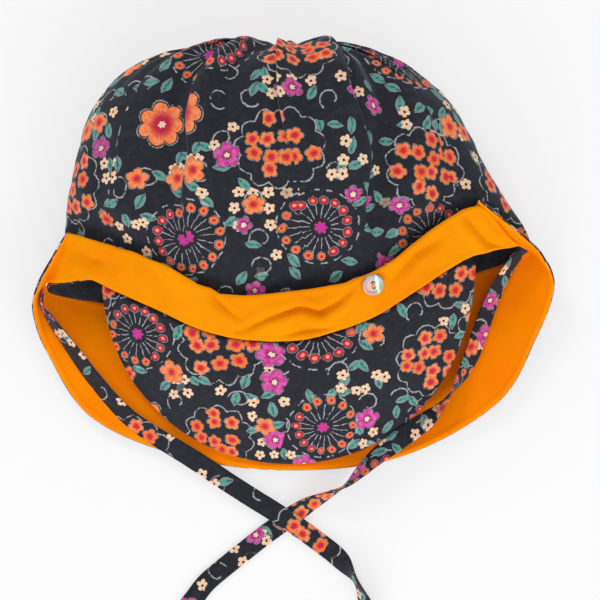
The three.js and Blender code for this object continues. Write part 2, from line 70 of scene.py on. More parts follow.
# Angle, x, y and z of the line that the cuff's edge reaches, and of the crown's rim.
CUFF_LINE = [
    (0, 110, 10, 13), (20, 102.6, 17, 23), (41, 84, 22.7, 35), (57, 60.8, 10.6, 42),
    (71, 34.4, -9, 46), (90, -1.5, -17, 47.5), (106, -31, -18, 46), (123, -60, -3.4, 40.5),
    (141, -86, 6, 31), (158, -101.5, 10.2, 21), (180, -108, 6, 12), (215, -84, -5, 0),
    (250, -36, -13, 0), (290, 38, -8, 0), (325, 87, 5, 0),
]
RIM = [
    (0, 112, 3, 9.5), (12, 107, 6, 14), (23, 97.7, 3.2, 21),
    (36, 82.6, -1, 27.5), (47, 68.3, -9.2, 31.5), (57, 54.2, -18.7, 34.5),
    (70, 33, -31, 37.2), (90, -1.5, -40.3, 38.5), (106, -36, -37, 37),
    (122, -64, -25.2, 32.5), (137, -85.5, -15.7, 26.5), (144, -93, -11.8, 23.5),
    (158, -107, -13.4, 17), (172, -116, -13.8, 11.5), (184, -116.2, -17, 6.5),
    (202, -101, -20.5, 1), (215, -88, -23, 0), (250, -38, -30, 0),
    (290, 40, -25, 0), (325, 89, -7.6, 0), (345, 104, -1.5, 4),
]
ROWS_IN_ALL = len(CROWN_RINGS) + 2
CUFF_LINE_SHARE = (ROWS_IN_ALL - 1) / ROWS_IN_ALL

# The cuff's sloping ends, as angles at the rim and at the cuff line, how far it stands off there, and
# its creases: depth, half width, and pairs of x and y along each.
CUFF_RIGHT_END = (11, 41)
CUFF_LEFT_END = (177, 158)
CUFF_STAND_OFF = (0.7, 2.4)
CUFF_LENGTH = 290
CUFF_WIDTH = 24
CUFF_END_LIFT = 0.9
CUFF_CREASES = [
    (2.3, 1.7, [(-26, -36), (-11, -29.5), (3, -24.5), (12, -27), (21, -21.5), (30, -11)]),
    (2.1, 1.7, [(-39, -15), (-33, -23), (-24, -30)]),
    (1.3, 2.0, [(-6, -39), (6, -35), (22, -35)]),
    (1.8, 3.0, [(-104, 4), (-94, -3), (-84, -5)]),
    (1.2, 2.4, [(-74, 0), (-66, -8), (-58, -20)]),
    (1.4, 2.4, [(44, -12), (54, 0), (66, 8)]),
    (1.3, 2.2, [(78, 18), (90, 6), (101, 1)]),
]

# The visor
VISOR_ANGLES = (42, 140)
VISOR_X = -1.5
VISOR_RIGHT_Y = -4
VISOR_LEFT_Y = -16
VISOR_TIP_Y = -99
VISOR_HALF_WIDTH = 87
VISOR_ROUNDNESS = 2.06
VISOR_THICKNESS = 2.2
VISOR_EDGE_Z = 5.2
VISOR_END_DROP = 5.5
VISOR_ARCH = 4.5
VISOR_LENGTH = 260
VISOR_WIDTH = 62

# The neck flap: angle, share and offset of its seam on the crown, its hem's x, y and z, and how it bowls.
FLAP = [
    (163, 0.875, 1.8, -106, 9.6, 25, 1), (172, 0.94, 1.8, -112.6, -1.5, 22.5, 1),
    (179, 1, 1.3, -119.8, -14.5, 19.5, 1), (189, 1, 0.6, -122.8, -27, 15.5, 1.2),
    (205, 1, 0.2, -115.9, -47.9, 10, 1.6), (226, 1, 0, -95, -77.9, 6, 2.2),
    (250, 1, 0, -50.5, -96.5, 3.2, 2.4), (270, 1, 0, 0, -102.5, 2.2, 2.4),
    (291, 1, 0, 51.3, -96, 3.2, 2.4), (312, 1, 0, 96.7, -70.9, 6.5, 2.2),
    (332, 1, 0, 115.3, -39.6, 10.5, 1.8), (350, 1, 0.6, 123.4, -16.3, 14.5, 1.2),
    (366, 1, 1.3, 118.6, -3, 20, 1), (377.4, 0.97, 1.7, 110, 6, 27, 1),
    (398, 0.875, 1.8, 85.6, 23.8, 42, 1),
]
FLAP_LENGTH = 400
FLAP_WIDTH = 52
FLAP_UNDER_CUFF = 6
FLAP_SEAM_THICKNESS = 0.9
FLAP_SEAM_LAP = 0.5

# The ties' middle lines: x, y, z and how far the band is rolled about its line, in degrees.
LEFT_TIE = [
    (-118.6, -17, 13.4, 80), (-118.8, -23.6, 14.8, 78), (-114.4, -31, 13.8, 68),
    (-107.6, -40.6, 11.2, 56), (-101, -50, 9.4, 46), (-94, -59.4, 8.2, 42),
    (-86, -69, 7.4, 38), (-76.8, -78, 6.8, 30), (-63.6, -87.2, 6.2, 18),
    (-46.8, -97.4, 5.6, 8), (-32.4, -107.1, 4.6, 0), (-17.4, -116.7, 3.6, 0),
    (-2.6, -126, 3.4, 0), (10.6, -135.3, 2.8, 0), (21.8, -144.2, 2.8, 14),
    (29.4, -154, 5.6, 78), (33.8, -163.6, 5, 56), (37.4, -174, 2.6, 20),
]
RIGHT_TIE = [
    (108, 1, 9.6, -62), (103.8, -4, 10, -58), (99.4, -11.4, 9, -50),
    (95, -20.6, 7.8, -42), (90.6, -32, 7, -36), (86, -45, 7.4, -36),
    (81, -55.4, 8.6, -50), (76, -63.8, 9.4, -80), (69.6, -72.4, 9.4, -110),
    (60.4, -80.4, 9.2, -160), (49.6, -88, 9.2, -168), (39.2, -96, 8.5, -142),
    (31, -103.8, 7.2, -116), (25, -109.4, 6, -92), (16.6, -114, 4.8, -68),
    (7, -119, 3.4, -34), (-2.4, -125.4, 1.3, 0), (-11.4, -131.8, 0.8, 0),
    (-20.6, -138.9, 0.8, 0), (-38.9, -153.7, 0.8, 0), (-47.8, -164.2, 0.8, 0),
    (-55.2, -174.1, 0.8, 0),
]

# The button: its place on the cuff, and pairs of radius and height from its back to its face
BUTTON_ANGLE = 70.6
BUTTON_SHARE = 0.78
BUTTON_SPIN = 105
BUTTON_HOLE_RADIUS = 0.75
BUTTON_HOLE_OFFSET = 1.2
BUTTON_PROFILE = [
    (0, 0), (3.4, 0), (4.3, 0.12), (4.9, 0.5), (5.17, 0.86), (5.2, 1.05), (5.12, 1.32), (4.92, 1.6),
    (4.62, 1.76), (4.3, 1.78), (4.0, 1.7), (3.6, 1.5), (3.2, 1.4), (2.6, 1.35), (1.6, 1.33), (0, 1.32),
]
THREAD_RADIUS = 0.2

# The crown's pleats, from right to left and round the back: lift, the side that lies on top (1 for that
# of larger angles), shares where it starts and ends, and pairs of share and angle along its fold.
PLEATS = [
    (0.7, 1, 0.06, 0.52, [(0.05, 36), (0.39, 34.5), (0.6, 33)]),
    (3.4, 1, 0.08, 0.84, [(0.05, 58), (0.21, 59), (0.43, 64), (0.6, 61.5), (0.7, 64), (0.88, 68)]),
    (2.6, -1, 0.1, 0.66, [(0.05, 92), (0.36, 88), (0.46, 87.5), (0.54, 86), (0.6, 84), (0.7, 83)]),
    (2.8, -1, 0.08, 0.86, [(0.05, 110), (0.38, 117), (0.5, 116.5), (0.59, 114), (0.7, 115.5), (0.88, 113.5)]),
    (1.1, -1, 0.06, 0.5, [(0.05, 136), (0.39, 141), (0.6, 142)]),
    (1.4, -1, 0.08, 0.5, [(0.05, 215), (0.4, 222), (0.6, 225)]),
    (1.4, 1, 0.08, 0.5, [(0.05, 320), (0.4, 315), (0.6, 312)]),
]
# How the cloth goes through a fold, on the way to larger angles where that side is raised: shift
# along the crown and lift off it, as shares of the pleat's size.
FOLD_PROFILE = [(-0.55, 0.0), (0.8, 0.04), (1.0, 0.22), (0.1, 0.55), (-0.5, 0.72), (-0.35, 0.98)]
FOLD_SIZE = 2.6
FOLD_COLUMN_STEP = 0.12
CLEAR_OF_FOLD = 1.8
PLEAT_REACH = 13
PLEAT_DIP = 0.25

# Soft valleys of the crown: depth, half width in degrees, and pairs of share and angle along each.
VALLEYS = [
    (5.4, 6, [(0.3, 45.5), (0.44, 50), (0.55, 53.5), (0.62, 55), (0.71, 58), (0.84, 62)]),
    (4.4, 6, [(0.3, 124), (0.5, 123), (0.7, 122), (0.84, 121)]),
    (4.2, 5, [(0.15, 80), (0.3, 79), (0.42, 78), (0.55, 76)]),
    (3.8, 5, [(0.15, 102), (0.3, 104), (0.45, 105), (0.6, 106)]),
    (1.6, 7, [(0.55, 30), (0.7, 33), (0.84, 36)]),
    (1.8, 6, [(0.6, 150), (0.72, 147), (0.86, 145)]),
]
GATHER_FOLDS = 13
GATHER_FOLD_HEIGHT = 1.3
GATHER_REACH = 0.36
FINE_FOLDS = 31
FINE_FOLD_HEIGHT = 0.8
FINE_FOLD_LEAN = 260
TOP_DROP = 1.3

# How fine the meshes are, where rows lie near an edge of the cloth, and how it is laid flat
CROWN_COLUMNS = 300
CROWN_ROWS = 150
PANEL_STEP = 1.5
TIE_STEPS = 260
EDGE_MARKS = (0.12, 0.35, 0.7, 1.2, 1.9, 2.8, 4, 5.4)
PUFF_FROM_EDGE = 2.0
SETTLE_ROUNDS = (600, 150, 150, 150)
BACK_OF_CLOTH = (151, 73)

# Camera, floor and light, in metres but for the floor: name, place, size and power of each light
CAMERA_PLACE = (0.0033, -0.0523, 1.019)
CAMERA_TARGET = (0.0033, -0.0216, 0.020)
CAMERA_LENS = 127.5
FLOOR_HALF_WIDTH = 3000
LIGHTS = [
    ("window", (-0.75, 1.15, 0.9), 0.7, 10),
    ("room", (0.9, -1.1, 0.75), 1.2, 10.5),
    ("front", (-0.3, -1.4, 0.5), 1.0, 9),
]
WORLD_LIGHT = 0.68


# Numbers and curves

def mix(a, b, share):
    return a + (b - a) * share


def ease(low, high, value):
    """A smooth 0 to 1 as value goes from low to high."""
    t = np.clip((np.asarray(value, float) - low) / (high - low), 0, 1)
    return t * t * (3 - 2 * t)


def hump(value, centre, width):
    """A smooth bump that is 1 at the centre."""
    return np.exp(-(((np.asarray(value, float) - centre) / width) ** 2))


def unit(vectors):
    return vectors / np.maximum(np.linalg.norm(vectors, axis=-1, keepdims=True), TINY)


def cubic(first, last, start, end, t):
    """The smooth way from first to last that starts and ends with the given slopes."""
    rise = last - first
    return first + t * (start + t * (3 * rise - 2 * start - end + t * (start + end - 2 * rise)))


def spline(knots, values, at):
    """A smooth curve through rows of values at rising knots, read at an array of places."""
    last = len(knots) - 1
    i = np.clip(np.searchsorted(knots, at, side="right") - 1, 0, last - 1)

    def slope(k):
        a = np.maximum(k - 1, 0)
        b = np.minimum(k + 1, last)
        return (values[b] - values[a]) / (knots[b] - knots[a])[:, None]

    span = (knots[i + 1] - knots[i])[:, None]
    t = np.clip((at - knots[i])[:, None] / span, 0, 1)
    return cubic(values[i], values[i + 1], slope(i) * span, slope(i + 1) * span, t)


def wavy(seed, x, y, size):
    """A smooth random field of about -1 to 1, made of seeded waves of the given size."""
    rng = np.random.default_rng(seed)
    total = np.zeros(np.broadcast(x, y).shape)
    weight = 1.0
    for _ in range(3):
        for _ in range(5):
            turn = rng.uniform(0, 2 * math.pi)
            phase = rng.uniform(0, 2 * math.pi)
            step = 2 * math.pi / size * rng.uniform(0.7, 1.3)
            total = total + weight * np.sin(step * (x * math.cos(turn) + y * math.sin(turn)) + phase)
        weight *= 0.55
        size *= 0.5
    return total / 4.2


# The crown's surface, as functions of the angle round the hat and the share from gather to rim

def on_table(rows, angle):
    """Points of a closed line round the hat, from rows of angle, x, y and z."""
    rows = np.asarray(rows, float)
    turn = (360, 0, 0, 0)
    table = np.vstack([rows[-1] - turn, rows, rows[:2] + turn])
    point = spline(table[:, 0], table[:, 1:], np.mod(angle, 360))
    point[:, 2] = np.maximum(point[:, 2], 0)
    return point


def on_ring(ring, angle):
    """Points of one of the crown's rings."""
    left, right, side_z, crest, base = ring
    c = np.cos(np.radians(angle))
    s = np.sin(np.radians(angle))
    side_x, side_y = (np.where(c > 0, right[k], left[k]) for k in (0, 1))
    end_y, end_z = (np.where(s > 0, crest[k], base[k]) for k in (0, 1))
    roundness = np.where(s > 0, CREST_ROUNDNESS, BASE_ROUNDNESS)
    rise = (1 - np.abs(c) ** roundness) ** (1 / roundness)
    rise = np.where(s > 0, rise, np.minimum(1, BASE_FLATNESS * rise))
    x = mix((left[0] + right[0]) / 2, side_x, np.abs(c))
    return np.stack([x, mix(side_y, end_y, s * s), mix(side_z, end_z, rise)], axis=1)


def crown_face(angle, share):
    """The crown's outer face without its folds, for two arrays or numbers."""
    angle, share = np.broadcast_arrays(np.asarray(angle, float), np.asarray(share, float))
    flat_angle = np.atleast_1d(angle).ravel()
    at = np.clip(np.atleast_1d(share).ravel() * ROWS_IN_ALL, 0, ROWS_IN_ALL)
    lines = [np.tile(np.asarray(GATHER, float), (len(flat_angle), 1))]
    lines += [on_ring(ring, flat_angle) for ring in CROWN_RINGS]
    lines += [on_table(CUFF_LINE, flat_angle), on_table(RIM, flat_angle)]
    lines = np.stack(lines)
    i = np.clip(at.astype(int), 0, ROWS_IN_ALL - 1)
    n = np.arange(len(i))

    def slope(k):
        a = np.maximum(k - 1, 0)
        b = np.minimum(k + 1, ROWS_IN_ALL)
        return (lines[b, n] - lines[a, n]) / (b - a)[:, None]

    point = cubic(lines[i, n], lines[i + 1, n], slope(i), slope(i + 1), (at - i)[:, None])
    point[:, 2] = np.maximum(point[:, 2], 0)
    return point.reshape(angle.shape + (3,)) if angle.shape else point[0]


def crown_normal(angle, share):
    safe = np.clip(share, 0.03, 0.995)
    along_u = crown_face(angle + 1.5, safe) - crown_face(angle - 1.5, safe)
    along_v = crown_face(angle, safe + 0.005) - crown_face(angle, safe - 0.005)
    return unit(np.cross(along_u, along_v))


def off_crown(angle, share, away):
    """Points that stand off the crown's face."""
    return crown_face(angle, share) + crown_normal(angle, share) * np.asarray(away)[..., None]


def cuff_ends(up):
    """The angles of the cuff's right and left ends, at a share of the way up from the rim."""
    return mix(*CUFF_RIGHT_END, up), mix(*CUFF_LEFT_END, up)


# Meshes from grids of points

def grid_steps(grid):
    """The steps from point to point, down the grid and across it."""
    return [np.diff(grid, axis=0), np.diff(grid, axis=1)]


def both_ends(grid):
    """The values at the two ends of each step, added."""
    return [grid[1:] + grid[:-1], grid[:, 1:] + grid[:, :-1]]


def at_points(steps, sign):
    """What every point gets from the steps that reach it and, times the sign, from those that leave it."""
    total = np.zeros((len(steps[0]) + 1, steps[0].shape[1]), steps[0].dtype)
    total[1:] += steps[0]
    total[:-1] += sign * steps[0]
    total[:, 1:] += steps[1]
    total[:, :-1] += sign * steps[1]
    return total


def settle(flat, wanted, weights, rounds):
    """Moves the points of a flat grid so that its steps come as near as they can to those wanted."""
    def pull_of(steps):
        return at_points([step * weight for step, weight in zip(steps, weights)], -1)

    weight_sum = at_points(weights, 1)
    rest = pull_of([want - found for want, found in zip(wanted, grid_steps(flat))])
    way = rest / weight_sum
    size = np.vdot(rest, way).real
    for _ in range(rounds):
        pull = pull_of(grid_steps(way))
        reach = size / max(np.vdot(way, pull).real, 1e-20)
        flat = flat + reach * way
        rest = rest - reach * pull
        eased = rest / weight_sum
        new_size = np.vdot(rest, eased).real
        way = eased + new_size / size * way
        size = new_size
    return flat


def size_of(numbers):
    """The sizes of complex numbers, none of them 0."""
    return np.maximum(np.abs(numbers), TINY)


def unroll(points, base, normals, loose=None):
    """Lays a grid of cloth flat: the place of every point on the uncut cloth, in millimetres.

    Every step of the grid keeps its length along the cloth, and neighbouring steps are turned until
    they agree. Where loose is small, the cloth may stretch, as it does unseen inside a fold."""
    reference = np.array([0, 1, -0.3])
    up = unit(reference - (normals @ reference)[..., None] * normals)
    across = np.cross(up, normals)
    wanted = []
    for step, way, right, ahead in zip(*map(grid_steps, (points, base)), *map(both_ends, (across, up))):
        turned = (way * right).sum(-1) + 1j * (way * ahead).sum(-1)
        wanted.append(turned / size_of(turned) * np.linalg.norm(step, axis=-1))
    weights = [1 / (np.abs(step) + 0.4) for step in wanted]
    if loose is not None:
        weights[0] = weights[0] * np.minimum(loose[1:], loose[:-1])
        weights[1] = weights[1] * np.minimum(loose[:, 1:], loose[:, :-1])
    flat = points[..., 0] + 1j * points[..., 1]
    steps = wanted
    for rounds in SETTLE_ROUNDS:
        flat = settle(flat, steps, weights, rounds)
        found = grid_steps(flat)
        turn = at_points([np.conj(wanted[k]) * found[k] * weights[k] for k in (0, 1)], 1)
        pairs = both_ends(turn / size_of(turn))
        steps = [want * pair / size_of(pair) for want, pair in zip(wanted, pairs)]
    row, column = points.shape[0] // 2, points.shape[1] // 2
    flat = flat - flat[row, column] + points[row, column, 0] + 1j * points[row, column, 1]
    return np.stack([flat.real, flat.imag], axis=-1)


def numbered(rows, columns, first=0):
    """A grid of vertex numbers."""
    return first + np.arange(rows * columns).reshape(rows, columns)


def wrap(grid):
    """A grid with its first column again after its last."""
    return np.concatenate([grid, grid[:, :1]], axis=1)


def corners(grid):
    """The values at the four corners of every cell of a grid."""
    cells = np.stack([grid[:-1, :-1], grid[1:, :-1], grid[1:, 1:], grid[:-1, 1:]], axis=2)
    return cells.reshape(-1, *cells.shape[2:])


def link(name, data):
    """A new object in the scene."""
    made = bpy.data.objects.new(name, data)
    bpy.context.scene.collection.objects.link(made)
    return made


def link_mesh(name, points, faces):
    """A new mesh object, from points in millimetres and faces."""
    mesh = bpy.data.meshes.new(name)
    mesh.from_pydata((np.asarray(points, float) * MM).tolist(), [], faces)
    mesh.update()
    return link(name, mesh)


def cloth_object(name, points, faces, flats, looks, materials):
    """A smooth object from points, faces, their places on the flat cloth and their material numbers."""
    a, b, c, d = (points[faces[:, k]] for k in range(4))
    volume = (np.cross(b - a, c - a) * a).sum() + (np.cross(c - a, d - a) * a).sum()
    if volume < 0:
        faces = faces[:, ::-1]
        flats = flats[:, ::-1]
    faces = faces.tolist()
    keep = [list(dict.fromkeys(face)) for face in faces]
    values = []
    for face, kept, flat in zip(faces, keep, flats):
        values += [flat[face.index(k)] for k in kept]
    piece = link_mesh(name, points, keep)
    mesh = piece.data
    mesh.uv_layers.new(name="cloth").data.foreach_set("uv", np.asarray(values, float).ravel())
    for material in materials:
        mesh.materials.append(material)
    mesh.polygons.foreach_set("material_index", np.asarray(looks, int))
    mesh.polygons.foreach_set("use_smooth", np.ones(len(keep), bool))
    mesh.update()
    return piece


def marks(length, step):
    """Shares of a length: close together at both ends and a step apart between them."""
    near = [0] + [f for f in EDGE_MARKS if f < length / 2.2]
    count = max(2, int((length - 2 * near[-1]) / step))
    middle = np.linspace(near[-1], length - near[-1], count + 1)[1:-1]
    far = [length - f for f in reversed(near)]
    return np.concatenate([near, middle, far]) / length


def edge_distance(points):
    """How far each point of a grid is from the nearest edge of the cloth, along the cloth."""
    distance = np.inf
    for axis in (0, 1):
        length = np.linalg.norm(np.diff(points, axis=axis), axis=-1)
        run = np.insert(np.cumsum(length, axis=axis), 0, 0, axis=axis)
        distance = np.minimum(distance, np.minimum(run, np.take(run, [-1], axis) - run))
    return distance


def grid_normals(points):
    """Unit normals of a grid of points, on the side that looks up at the grid's middle."""
    normals = unit(np.cross(np.gradient(points, axis=0), np.gradient(points, axis=1)))
    rows, columns = normals.shape[:2]
    return normals if normals[rows // 2, columns // 2, 2] > 0 else -normals


def round_edge(away, radius):
    """The share of its thickness that cloth with a rolled edge has at a distance from the edge."""
    return np.sqrt(1 - (1 - np.minimum(away / radius, 1)) ** 2)


def cloth_panel(name, middle, thickness, materials, looks, puff=0.35, shift=(0, 0), hem=0):
    """A closed panel of cloth round a grid of middle points, with rolled edges and a full seam.

    The first look is on its upper side. The second is on its lower side, and on the outermost
    strips of the upper side's hem, as many as are asked for."""
    normals = grid_normals(middle)
    away = edge_distance(middle)
    radius = np.asarray(thickness) / 2
    edge = round_edge(away, radius)
    half = radius * edge + puff * hump(away, PUFF_FROM_EDGE, 0.9) * edge
    rows, columns = away.shape
    front = middle + normals * half[..., None]
    back = middle - normals * half[..., None]
    front_ids = numbered(rows, columns)
    back_ids = front_ids.copy()
    back_ids[1:-1, 1:-1] = numbered(rows - 2, columns - 2, rows * columns)
    points = np.concatenate([front.reshape(-1, 3), back[1:-1, 1:-1].reshape(-1, 3)])
    flat = unroll(middle, middle, normals) + np.asarray(shift, float)
    faces = np.concatenate([corners(front_ids), corners(back_ids)[:, ::-1]])
    flats = np.concatenate([corners(flat), corners(flat + BACK_OF_CLOTH)[:, ::-1]])
    upper = np.full((rows - 1, columns - 1), looks[0])
    upper[:, columns - 1 - hem:] = looks[1]
    worn = list(upper.ravel()) + [looks[1]] * upper.size
    return cloth_object(name, points, faces, flats, worn, materials)


# The crown

def path_angle(path, share):
    return np.interp(share, *zip(*path))


def cloth_height(angle, share):
    """How far soft folds lift the crown's cloth, without the sharp steps of its pleats."""
    height = np.zeros_like(angle)
    for depth, width, path in VALLEYS:
        first, last = path[0][0], path[-1][0]
        along = ease(first - 0.1, first + 0.08, share) * (1 - ease(last - 0.08, last + 0.03, share))
        height -= depth * along * hump(angle, path_angle(path, share), width)
    gathered = ease(0.02, 0.1, share) * (1 - ease(GATHER_REACH / 3, GATHER_REACH, share))
    height += GATHER_FOLD_HEIGHT * gathered * np.cos(np.radians(GATHER_FOLDS * angle))
    near_top = ease(0.03, 0.12, share) * (1 - ease(0.2, 0.55, share))
    height += FINE_FOLD_HEIGHT * near_top * np.cos(np.radians(FINE_FOLDS * angle + FINE_FOLD_LEAN * share))
    return height - TOP_DROP * hump(share, 0.2, 0.12)


def crown_columns(pleat_angles):
    """The mesh's columns once round from the back: angle, number of a pleat or None, step of its fold."""
    plain = np.linspace(0, 360, CROWN_COLUMNS, endpoint=False)
    columns = [(c, None, 0) for c in plain if min(abs(c - a) for a in pleat_angles) > CLEAR_OF_FOLD]
    for number, middle in enumerate(pleat_angles):
        for k in range(len(FOLD_PROFILE)):
            columns.append((middle + (k - 2.5) * FOLD_COLUMN_STEP, number, k))
    columns.sort(key=lambda column: column[0])
    start = next(i for i, column in enumerate(columns) if column[0] > 269)
    return columns[start:] + [(c + 360, number, k) for c, number, k in columns[:start]]


def crown_grid(place, pleat_angles):
    """Angle and share of every point: columns follow the pleats, rows are closer at the gather."""
    half = CROWN_ROWS // 2
    shares = np.concatenate([np.linspace(0.012, 0.3, half, endpoint=False), np.linspace(0.3, 1, half + 1)])
    angle = np.zeros((len(shares), len(place)))
    for i, share in enumerate(shares):
        shifts = [path_angle(pleat[-1], share) - middle for pleat, middle in zip(PLEATS, pleat_angles)]
        angle[i] = place + np.interp(place, pleat_angles + [0, 180, 270], shifts + [0, 0, 0], period=360)
    return np.mod(angle, 360), np.repeat(shares[:, None], len(place), axis=1)


def crown_cloth(angle, share, columns):
    """The crown's face and normals without folds, its folded outer side and its inner side."""
    base = crown_face(angle, share)
    normal = crown_normal(angle, share)
    safe = np.maximum(share, 0.03)
    along = unit(crown_face(angle + 1, safe) - crown_face(angle - 1, safe))
    soft = cloth_height(angle, share)
    height = soft.copy()
    slide = np.zeros_like(height)
    for number, (lift, raised, start, end, path) in enumerate(PLEATS):
        strength = ease(start, start + 0.12, share) * (1 - ease(end - 0.22, end, share))
        away = (angle - path_angle(path, share) + 180) % 360 - 180
        reach = np.exp(-(np.abs(away) / PLEAT_REACH) ** 1.3)
        own = np.array([column[1] == number for column in columns])
        side = np.where(away * raised > 0, lift, -PLEAT_DIP * lift)
        height += np.where(own, 0, side * strength * reach)
        for j in np.nonzero(own)[0]:
            k = columns[j][2] if raised > 0 else len(FOLD_PROFILE) - 1 - columns[j][2]
            shift, rise = FOLD_PROFILE[k]
            height[:, j] += lift * strength[:, j] * rise
            height[:, j] -= PLEAT_DIP * lift * strength[:, j] * (1 - rise)
            slide[:, j] = FOLD_SIZE * raised * shift * strength[:, j]
    x, back = base[..., 0], base[..., 1] + base[..., 2]
    height += ease(0.03, 0.2, share) * (0.55 * wavy(3, x, back, 46) + 0.16 * wavy(5, x, back, 15))
    covered = ease(CUFF_LINE_SHARE - 0.03, CUFF_LINE_SHARE + 0.02, share)
    front = ease(-0.1, 0.2, np.sin(np.radians(angle)))
    height = mix(height, np.minimum(height, 0) * 0.3 - 0.1, covered * front)
    outer = base + normal * height[..., None] + along * slide[..., None]
    outer[..., 2] = np.maximum(outer[..., 2], 0)
    depth = CLOTH + 0.4 + 1.6 * (1 - ease(0.05, GATHER_REACH, share)) + 1.6 * (1 - ease(0.84, 0.9, share))
    inner = base + normal * (np.minimum(soft, 0) - depth)[..., None]
    inner[..., 2] = np.maximum(inner[..., 2], CLOTH)
    return base, normal, outer, inner


def make_crown(print_look, lining_look):
    """The crown: pleated printed cloth outside, plain cloth inside, open at the rim."""
    pleat_angles = [path_angle(pleat[-1], 0.6) for pleat in PLEATS]
    columns = crown_columns(pleat_angles)
    angle, share = crown_grid(np.array([column[0] for column in columns]), pleat_angles)
    base, normal, outer, inner = crown_cloth(angle, share, columns)
    rows, count = angle.shape
    rim_out = base[-1] * 2 - crown_face(angle[-1], np.full(count, 0.99))
    rim_turn = (outer[-1] + inner[-1]) / 2 + unit(rim_out - base[-1]) * 0.7

    # The fold hides some steps of a pleat's profile, and there the cloth may stretch
    hidden = []
    for _, number, k in columns:
        hidden.append(number is not None and k in ((1, 2, 3) if PLEATS[number][1] > 0 else (2, 3, 4)))
    loose = np.where(hidden, 0.02, 1) * np.where(normal[..., 2] < -0.3, 0.15, 1)
    flat = unroll(wrap(outer), wrap(base), wrap(normal), wrap(loose))
    flat = np.concatenate([flat, flat[-1:] + (0, -1), flat[::-1] + (37, 211)])

    points = [outer.reshape(-1, 3), rim_turn, inner[::-1].reshape(-1, 3)]
    points.append(np.array([GATHER, (GATHER[0], GATHER[1] - 5, GATHER[2])], float))
    ids = wrap(numbered(2 * rows + 1, count))
    faces = [corners(ids)]
    flats = [corners(flat)]
    looks = [0] * (rows * count) + [1] * (rows * count)
    for look, row, way in ((0, 0, 1), (1, -1, -1)):
        pole = np.full(count, (2 * rows + 1) * count + look)
        middle = np.repeat(flat[row].mean(0)[None], count, axis=0)
        fan = np.stack([pole, ids[row, :-1], ids[row, 1:], pole], axis=1)
        fan_flat = np.stack([middle, flat[row, :-1], flat[row, 1:], middle], axis=1)
        faces.append(fan[:, ::way])
        flats.append(fan_flat[:, ::way])
        looks += [look] * count
    return cloth_object("crown_cloth", np.concatenate(points), np.concatenate(faces), np.concatenate(flats),
                        looks, [print_look, lining_look])


# The cuff, the visor and the flap

BUTTON_X, BUTTON_Y = crown_face(BUTTON_ANGLE, mix(1, CUFF_LINE_SHARE, BUTTON_SHARE))[:2]


def distance_to_path(x, y, path):
    """The distance from every point to a line through the path's corners, and the share along it."""
    point = x + 1j * y
    bends = [complex(*corner) for corner in path]
    best = np.inf
    along = 0
    for i, (a, b) in enumerate(zip(bends, bends[1:])):
        t = np.clip(((point - a) * np.conj(b - a)).real / abs(b - a) ** 2, 0, 1)
        distance = np.abs(point - a - t * (b - a))
        along = np.where(distance < best, (i + t) / (len(path) - 1), along)
        best = np.minimum(distance, best)
    return best, along


def cuff_middle():
    u = marks(CUFF_LENGTH, PANEL_STEP)[:, None]
    v = marks(CUFF_WIDTH, 1.1)[None, :]
    angle = mix(*cuff_ends(v), u)
    share = mix(1, CUFF_LINE_SHARE, v) + 0 * u
    point = crown_face(angle, share)
    x, y = point[..., 0], point[..., 1]
    stand_off = mix(*CUFF_STAND_OFF, v) + CLOTH / 2
    away = stand_off + 0.3 + 0 * u
    for depth, width, path in CUFF_CREASES:
        distance, along = distance_to_path(x, y, path)
        fade = np.sin(np.pi * np.clip(along, 0.04, 0.96)) ** 0.6
        away = away - depth * fade * hump(distance, 0, width) * ease(0, 0.2, v)
        away = away + 0.8 * depth * fade * hump(distance, 2 * width, 1.1 * width)
    away = away + ease(0.1, 1, v) * (0.5 * wavy(11, x, y, 60) + 0.5) + 0.12 * wavy(12, x, y, 13)
    away = away + CUFF_END_LIFT * (1 - ease(0.0, 0.07, np.minimum(u, 1 - u)))
    near_button = hump(np.hypot(x - BUTTON_X, y - BUTTON_Y), 0, 8)
    away = mix(away, stand_off + 0.2, near_button)
    return point + crown_normal(angle, share) * away[..., None]


def visor_middle():
    u = marks(VISOR_LENGTH, PANEL_STEP)
    v = marks(VISOR_WIDTH, PANEL_STEP)[None, :]
    inner = on_table(RIM, mix(*VISOR_ANGLES, u)) - (0, SEAM_GAP, CLOTH / 2)
    turn = np.pi * u
    power = 2 / VISOR_ROUNDNESS
    across = np.sin(turn).clip(0) ** power
    side = np.sign(np.cos(turn)) * np.abs(np.cos(turn)) ** power
    ends = 1 - np.sin(turn)
    outer = np.stack([
        VISOR_X + VISOR_HALF_WIDTH * side,
        mix(mix(VISOR_RIGHT_Y, VISOR_LEFT_Y, u), VISOR_TIP_Y, across),
        mix(VISOR_EDGE_Z, inner[:, 2] - VISOR_END_DROP, ends ** 2),
    ], axis=1)
    point = inner[:, None] + (outer - inner)[:, None] * v[..., None]
    arch = VISOR_ARCH * np.sin(np.pi * v) * np.sin(turn)[:, None]
    ripple = 0.35 * wavy(21, point[..., 0], point[..., 1], 55) * np.sin(np.pi * v) ** 0.5
    point[..., 2] += arch + ripple
    return point


FLAP_U = marks(FLAP_LENGTH, PANEL_STEP * 1.2)
FLAP_V = marks(FLAP_WIDTH, PANEL_STEP)[None, :]
SEWN_UNDER_CUFF = 1 - ease(0.09, 0.18, np.minimum(FLAP_U, 1 - FLAP_U))


